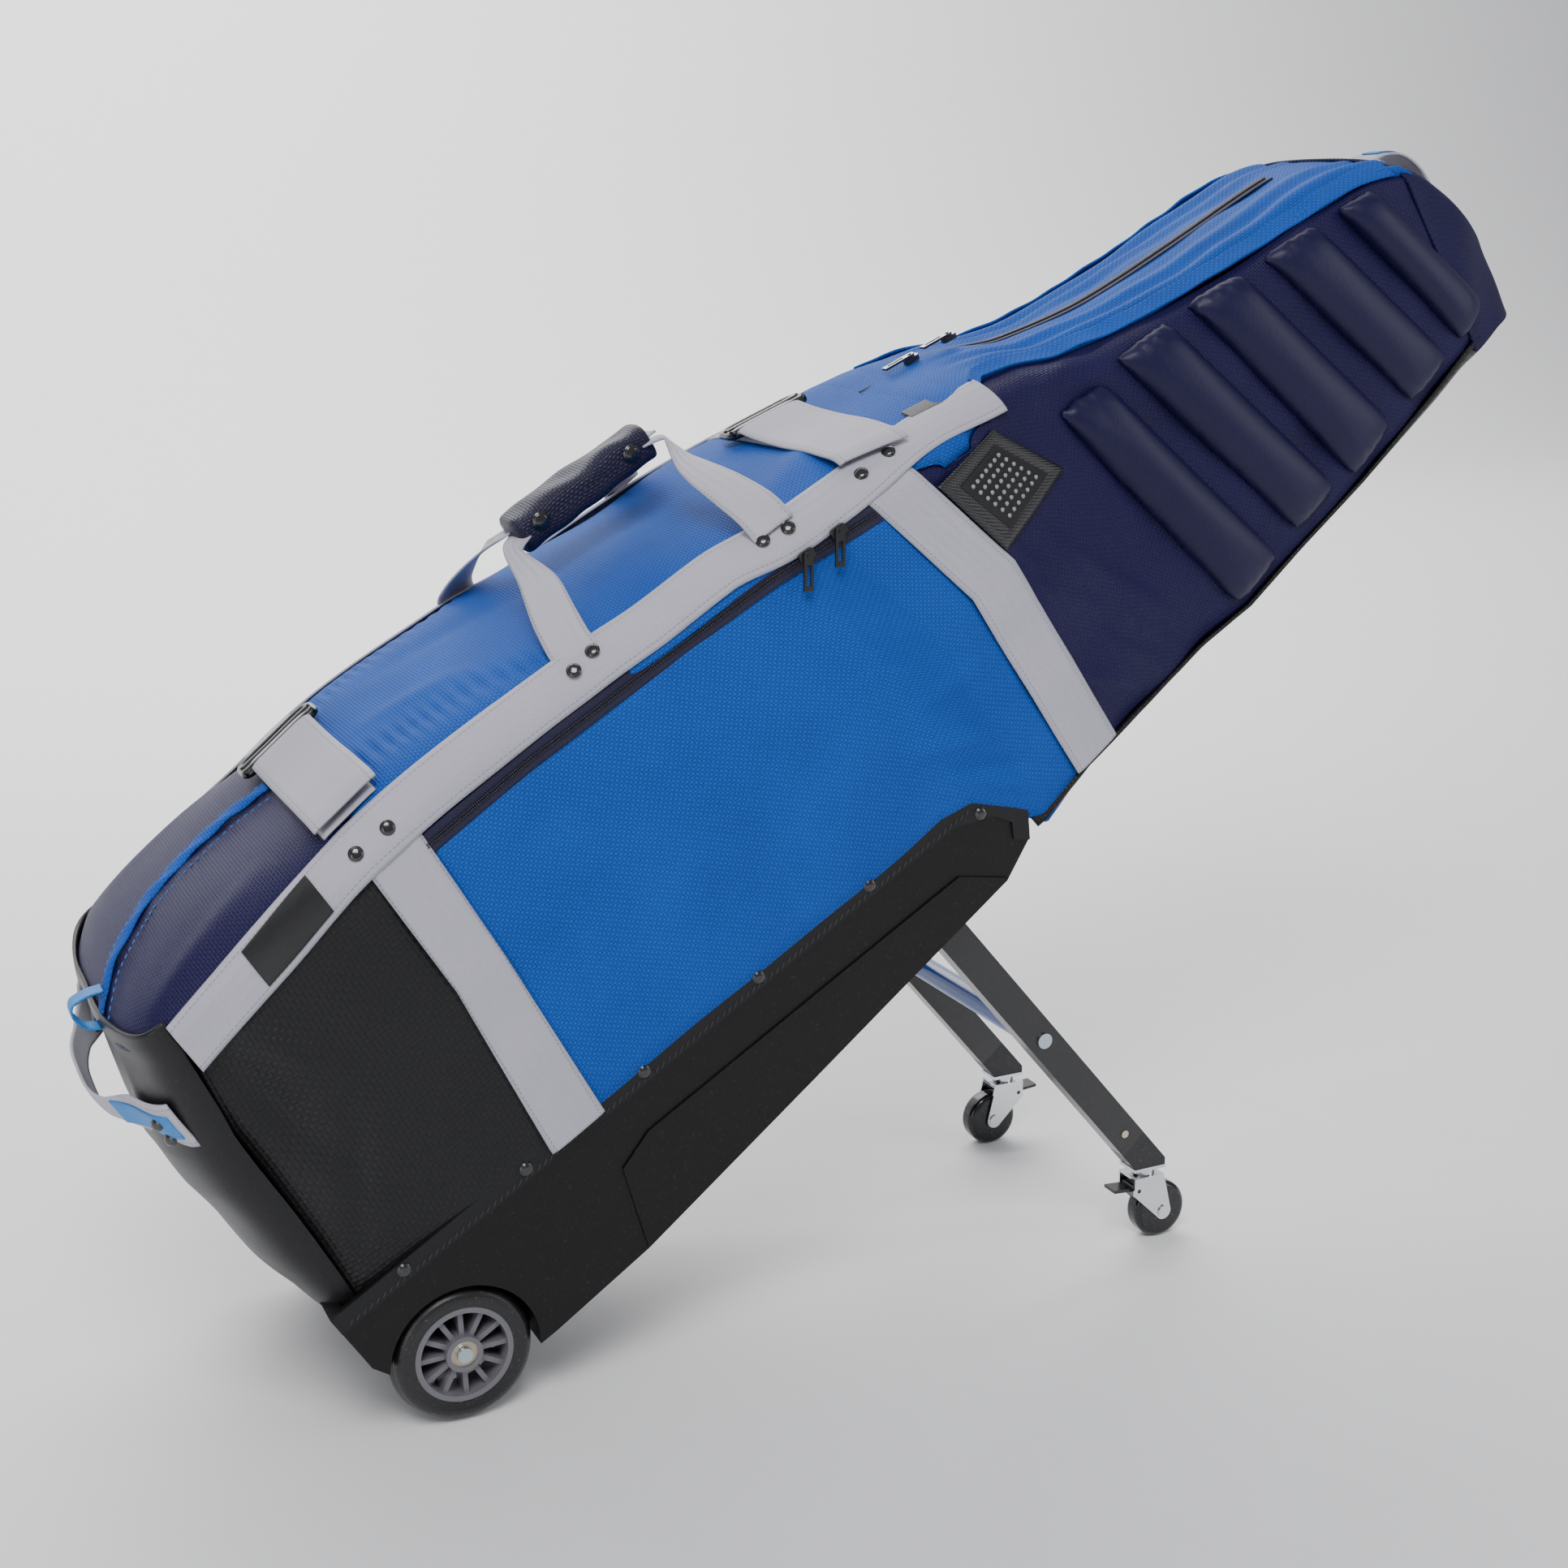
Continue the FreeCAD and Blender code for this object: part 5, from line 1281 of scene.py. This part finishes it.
outward_caps = np.array([[-0.66, -0.75, -0.0]] * 2 + [[-0.66, 0.75, 0.0]] * 2)
foot_caps = many("foot_handle_caps", dome(0.0052, 0.0024), centres, axes_from(outward_caps),
                 rivet_black)
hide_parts("cover_rivets")

line = bend_line([(1276.0, 0.0, float(top_at(1276.0)) + 1.0), (1296.0, 0.0, 268.0),
                  (1320.0, 0.0, 258.0), (1337.0, 0.0, 226.0), (1340.0, 0.0, 190.0),
                  (1334.0, 0.0, 150.0)], 60)
wide = np.zeros((60, 3))
wide[:, 1] = 0.0195
ribbon("head_handle", stand(line), wide, narrow_web, thick=0.0022, replaces=("end_handles",),
       flip=True)
line_blue = line[10:52] + np.array([1.4, 0.0, 1.6])
ribbon("head_handle_lining", stand(line_blue), wide[10:52] * 0.56, lining, thick=0.0014,
       replaces=("end_handles",), flip=True)
centres = stand(np.array([(1342.5, 0.0, 182.0), (1340.0, 0.0, 164.0)]))
outward_caps = np.array([[0.97, -0.1, 0.22]] * 2)
head_caps = many("head_handle_caps", dome(0.0052, 0.0024), centres, axes_from(outward_caps),
                 rivet_black)
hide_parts("cover_rivets")


# ---- Labels and patch ----
# Bare woven labels, and a black twill-woven patch sewn on the right side of the neck
# with a plain grid of small raised dots in its middle.
twill, given, result = new_group("Twill", {"Thread": 0.003}, ("Height", "Light"))
place = add(twill, "TexCoord").outputs["UV"]
axes = add(twill, "SeparateXYZ", {0: place}).outputs
slant = maths(twill, "DIVIDE", maths(twill, "ADD", axes[0], maths(twill, "MULTIPLY", axes[1],
                                                                   0.6)), given["Thread"])
ridge = maths(twill, "ABSOLUTE", maths(twill, "SINE", maths(twill, "MULTIPLY", slant, math.pi)))
cross = maths(twill, "ABSOLUTE", maths(twill, "SINE", maths(twill, "MULTIPLY", maths(
    twill, "DIVIDE", axes[1], given["Thread"]), math.pi * 1.5)))
both = maths(twill, "MULTIPLY", ridge, maths(twill, "MULTIPLY_ADD", cross, 0.5, 0.5))
twill.links.new(both, result["Height"])
# Painted highlight: the top of each twill thread is coloured lighter, as if light catches it.
twill.links.new(maths(twill, "POWER", both, 3.0), result["Light"])


def twill_finish(name, dark, light, thread, rough):
    material = bpy.data.materials.new(name)
    material.use_nodes = True
    tree = material.node_tree
    shader = tree.nodes["Principled BSDF"]
    seen = place_group(tree, twill, {"Thread": thread})
    # The lighter colour is a painted highlight on the thread crests.
    tree.links.new(between(tree, seen["Light"], dark, light), shader.inputs["Base Color"])
    tree.links.new(maths(tree, "MULTIPLY_ADD", seen["Height"], -0.15, rough),
                   shader.inputs["Roughness"])
    bump = add(tree, "Bump", {"Height": seen["Height"], "Strength": 0.7, "Distance": 0.0006})
    tree.links.new(bump.outputs[0], shader.inputs["Normal"])
    return material


carbon = twill_finish("Black twill", (0.005, 0.005, 0.006), (0.035, 0.035, 0.04), 0.0034, 0.42)
label_black = twill_finish("Label weave", (0.004, 0.004, 0.005), (0.012, 0.012, 0.013), 0.0009,
                           0.5)


def sewn_patch(name, corners, lift, material, rows=40, columns=30, slot="label_cloth",
               border=0.0):
    """A flat piece on the right side between four corners (along, height)."""
    corners = np.array(corners, float)
    first, second = np.meshgrid(np.linspace(0, 1, rows), np.linspace(0, 1, columns),
                                indexing="ij")
    flat = ((corners[0] * (1 - first[..., None]) + corners[1] * first[..., None])
            * (1 - second[..., None])
            + (corners[3] * (1 - first[..., None]) + corners[2] * first[..., None])
            * second[..., None])
    near = np.minimum(np.minimum(first, 1 - first), np.minimum(second, 1 - second))
    raised = lift + border * np.exp(-((near - 0.06) / 0.03) ** 2)
    made = grid_piece(name, stand(around(flat[..., 0], turn_at_height(
        flat[..., 0], flat[..., 1]), raised)), material, slot=slot, thick=0.0012)
    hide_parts("labels")
    return made


sewn_patch("neck_patch", [(729, 252), (818, 268), (772, 339), (701, 335)], 3.2, carbon,
           border=1.2)
sewn_patch("neck_patch_window", [(742, 264), (800, 276), (767, 328), (719, 322)], 3.9,
           label_black)
rows, columns = np.meshgrid(np.linspace(0.14, 0.86, 7), np.linspace(0.14, 0.86, 6),
                            indexing="ij")
dots = ((np.array([742, 264]) * (1 - rows[..., None]) + np.array([800, 276]) * rows[..., None])
        * (1 - columns[..., None])
        + (np.array([719, 322]) * (1 - rows[..., None]) + np.array([767, 328])
           * rows[..., None]) * columns[..., None]).reshape(-1, 2)
here, out = on_body(dots[:, 0], turn_at_height(dots[:, 0], dots[:, 1]), 3.9)
dot_finish = hard_finish("Raised dots", (0.2, 0.2, 0.22), (0.28, 0.28, 0.3), 0.4, 0.0008,
                         0.00003)
dots = many("neck_patch_dots", dome(0.0019, 0.0008, 6, 10), here, axes_from(out), dot_finish)
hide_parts("labels")
along = np.linspace(63.0, 131.0, 40)
offsets = np.linspace(-15.0, 15.0, 20)
turn = turn_beside(along, strap_centre(along), offsets)
label = grid_piece("strap_label", stand(around(along[:, None], turn, strap_lift(along, offsets) + 1.1)),
                   label_black, slot="label_cloth", thick=0.001)
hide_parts("labels")
along, across = np.meshgrid(np.linspace(727, 757, 20), np.linspace(-113, -98, 12),
                            indexing="ij")
small_label = grid_piece("neck_label", stand(around(along, turn_at_side(along, across), 4.0)),
                         label_black, slot="label_cloth", thick=0.001)
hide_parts("labels")


# ---- Pocket zip, pull tab and neck flap ----
# A blue welt covers the shoe pocket's zip along the top of the foot, with a blue tab at
# its end; a flat blue flap edged by a fold runs beside the neck's zip on each side.
def welt_line(along):
    return np.interp(along, [-60, -30, -8, 32, 77, 116, 156], [-62, -48, -31, 2, 16, 20, 9])


along, offset = np.meshgrid(np.linspace(-46, 154, 160), np.linspace(-9.0, 9.0, 11),
                            indexing="ij")
crown = 2.2 * (1 - np.abs(offset / 9.2) ** 3)
lift = 1.6 + crown + 0.6 * np.sin(along / 5.0 + offset * 0.3)
welt = grid_piece("pocket_welt", stand(around(along, turn_at_side(
    along, welt_line(along) + offset), lift)), blue_cloth, slot="blue_fabric", thick=0.002)
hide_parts("shoe_pocket")
blue_thread = hard_finish("Blue thread", (0.01, 0.1, 0.4), (0.02, 0.17, 0.55), 0.5, 0.0005,
                          0.0001, dust=0.0)
along = np.linspace(-44, 150, 200)
runs = [stitch_run(along, turn_at_side(along, welt_line(along) - 26.0), 0.9, 0.007, 0.004),
        stitch_run(along, turn_at_side(along, welt_line(along) + 14.0), 0.9, 0.007, 0.004)]
pocket_thread = stitches("pocket_thread", runs, 0.0042, blue_thread, 0.0013, 0.0011, both=False)
line = bend_line([(-34.0, -50.0, 386.0), (-46.0, -54.0, 392.0), (-56.0, -57.0, 394.0),
                  (-62.0, -58.0, 386.0), (-60.0, -57.0, 374.0), (-52.0, -56.0, 366.0)], 40)
wide = np.tile(np.array([[0.0, 0.009, 0.0]]), (40, 1))
ribbon("pocket_pull_tab", stand(line), wide, lining, thick=0.0016, slot="blue_fabric",
       replaces=("shoe_pocket",))

along, offset = np.meshgrid(np.linspace(792, 1236, 260), np.linspace(-1.0, 13.0, 12),
                            indexing="ij")
across = np.interp(along, [690, 735, 775, 805, 900, 1000, 1100, 1180, 1260],
                   [-152, -147, -134, -96, -92, -96, -102, -106, -108]) + offset
lift = 2.2 + 2.4 * (offset / 13.0) ** 2 + 0.8 * waves(along, offset, 81, 60.0)
flap = both_sides("neck_flap", stand(around(along, turn_at_side(along, across), lift)),
                  blue_cloth, slot="blue_fabric", thick=0.002)
for made in flap:
    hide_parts("neck_opening_panel")


# ---- Floor, lights and camera ----
# A pale studio floor that runs up into a white backdrop, large soft lights on both
# sides, and a camera at the height of the bag's middle.
along, run = np.meshgrid(np.linspace(-14, 14, 29), np.linspace(-10, 16, 105), indexing="ij")
bend = np.clip((run - 5.0) / 3.0, 0.0, math.pi / 2.0)
across = np.where(run < 5.0, run, 5.0 + 3.0 * np.sin(bend))
rise = 3.0 * (1.0 - np.cos(bend)) + np.clip(run - 5.0 - 1.5 * math.pi, 0.0, None)
pale = hard_finish("Studio floor", (0.8, 0.8, 0.81), (0.83, 0.83, 0.84), 0.55, 0.02, 0.00005,
                   dust=0.0)
floor = grid_piece("studio_floor", np.stack([along, across, rise], -1), pale, body=None)

world = bpy.data.worlds.new("Studio")
bpy.context.scene.world = world
world.use_nodes = True
world.node_tree.nodes["Background"].inputs[0].default_value = (0.93, 0.95, 1.0, 1.0)
world.node_tree.nodes["Background"].inputs[1].default_value = 0.34


def softbox(name, place, aim, width, height, power, colour=(1.0, 1.0, 1.0)):
    """A rectangular soft light that points from its place to an aim."""
    light = bpy.data.lights.new(name, "AREA")
    light.shape = "RECTANGLE"
    light.size = width
    light.size_y = height
    light.energy = power
    light.color = colour
    made = bpy.data.objects.new(name, light)
    made.location = place
    made.rotation_euler = (Vector(aim) - Vector(place)).to_track_quat("-Z", "Y").to_euler()
    bpy.context.collection.objects.link(made)


softbox("Key", (-1.2, -2.0, 3.0), (0.0, 0.0, 0.45), 1.5, 1.5, 95.0)
softbox("Fill", (2.4, -1.8, 1.2), (0.1, 0.0, 0.4), 1.2, 1.8, 20.0)
softbox("Back", (0.6, 2.4, 2.4), (0.0, 0.0, 0.5), 2.4, 1.2, 38.0)
softbox("Low", (-2.2, -1.4, 0.5), (-0.3, 0.0, 0.2), 0.7, 1.2, 9.0)
softbox("Backdrop wash", (0.0, 3.2, 5.5), (0.5, 7.5, 1.5), 9.0, 1.5, 900.0)

camera_data = bpy.data.cameras.new("Camera")
camera_data.lens = 48.207
camera_data.sensor_width = 36.0
camera = bpy.data.objects.new("Camera", camera_data)
camera.location = (-0.82182, -1.60016, 0.90321)
look = Vector((-0.05514, 0.0, 0.44361)) - camera.location
turned = look.to_track_quat("-Z", "Y").to_matrix().to_4x4()
roll = Matrix.Rotation(math.radians(-0.4), 4, "Z")
camera.rotation_euler = (turned @ roll).to_euler()
bpy.context.collection.objects.link(camera)
bpy.context.scene.camera = camera
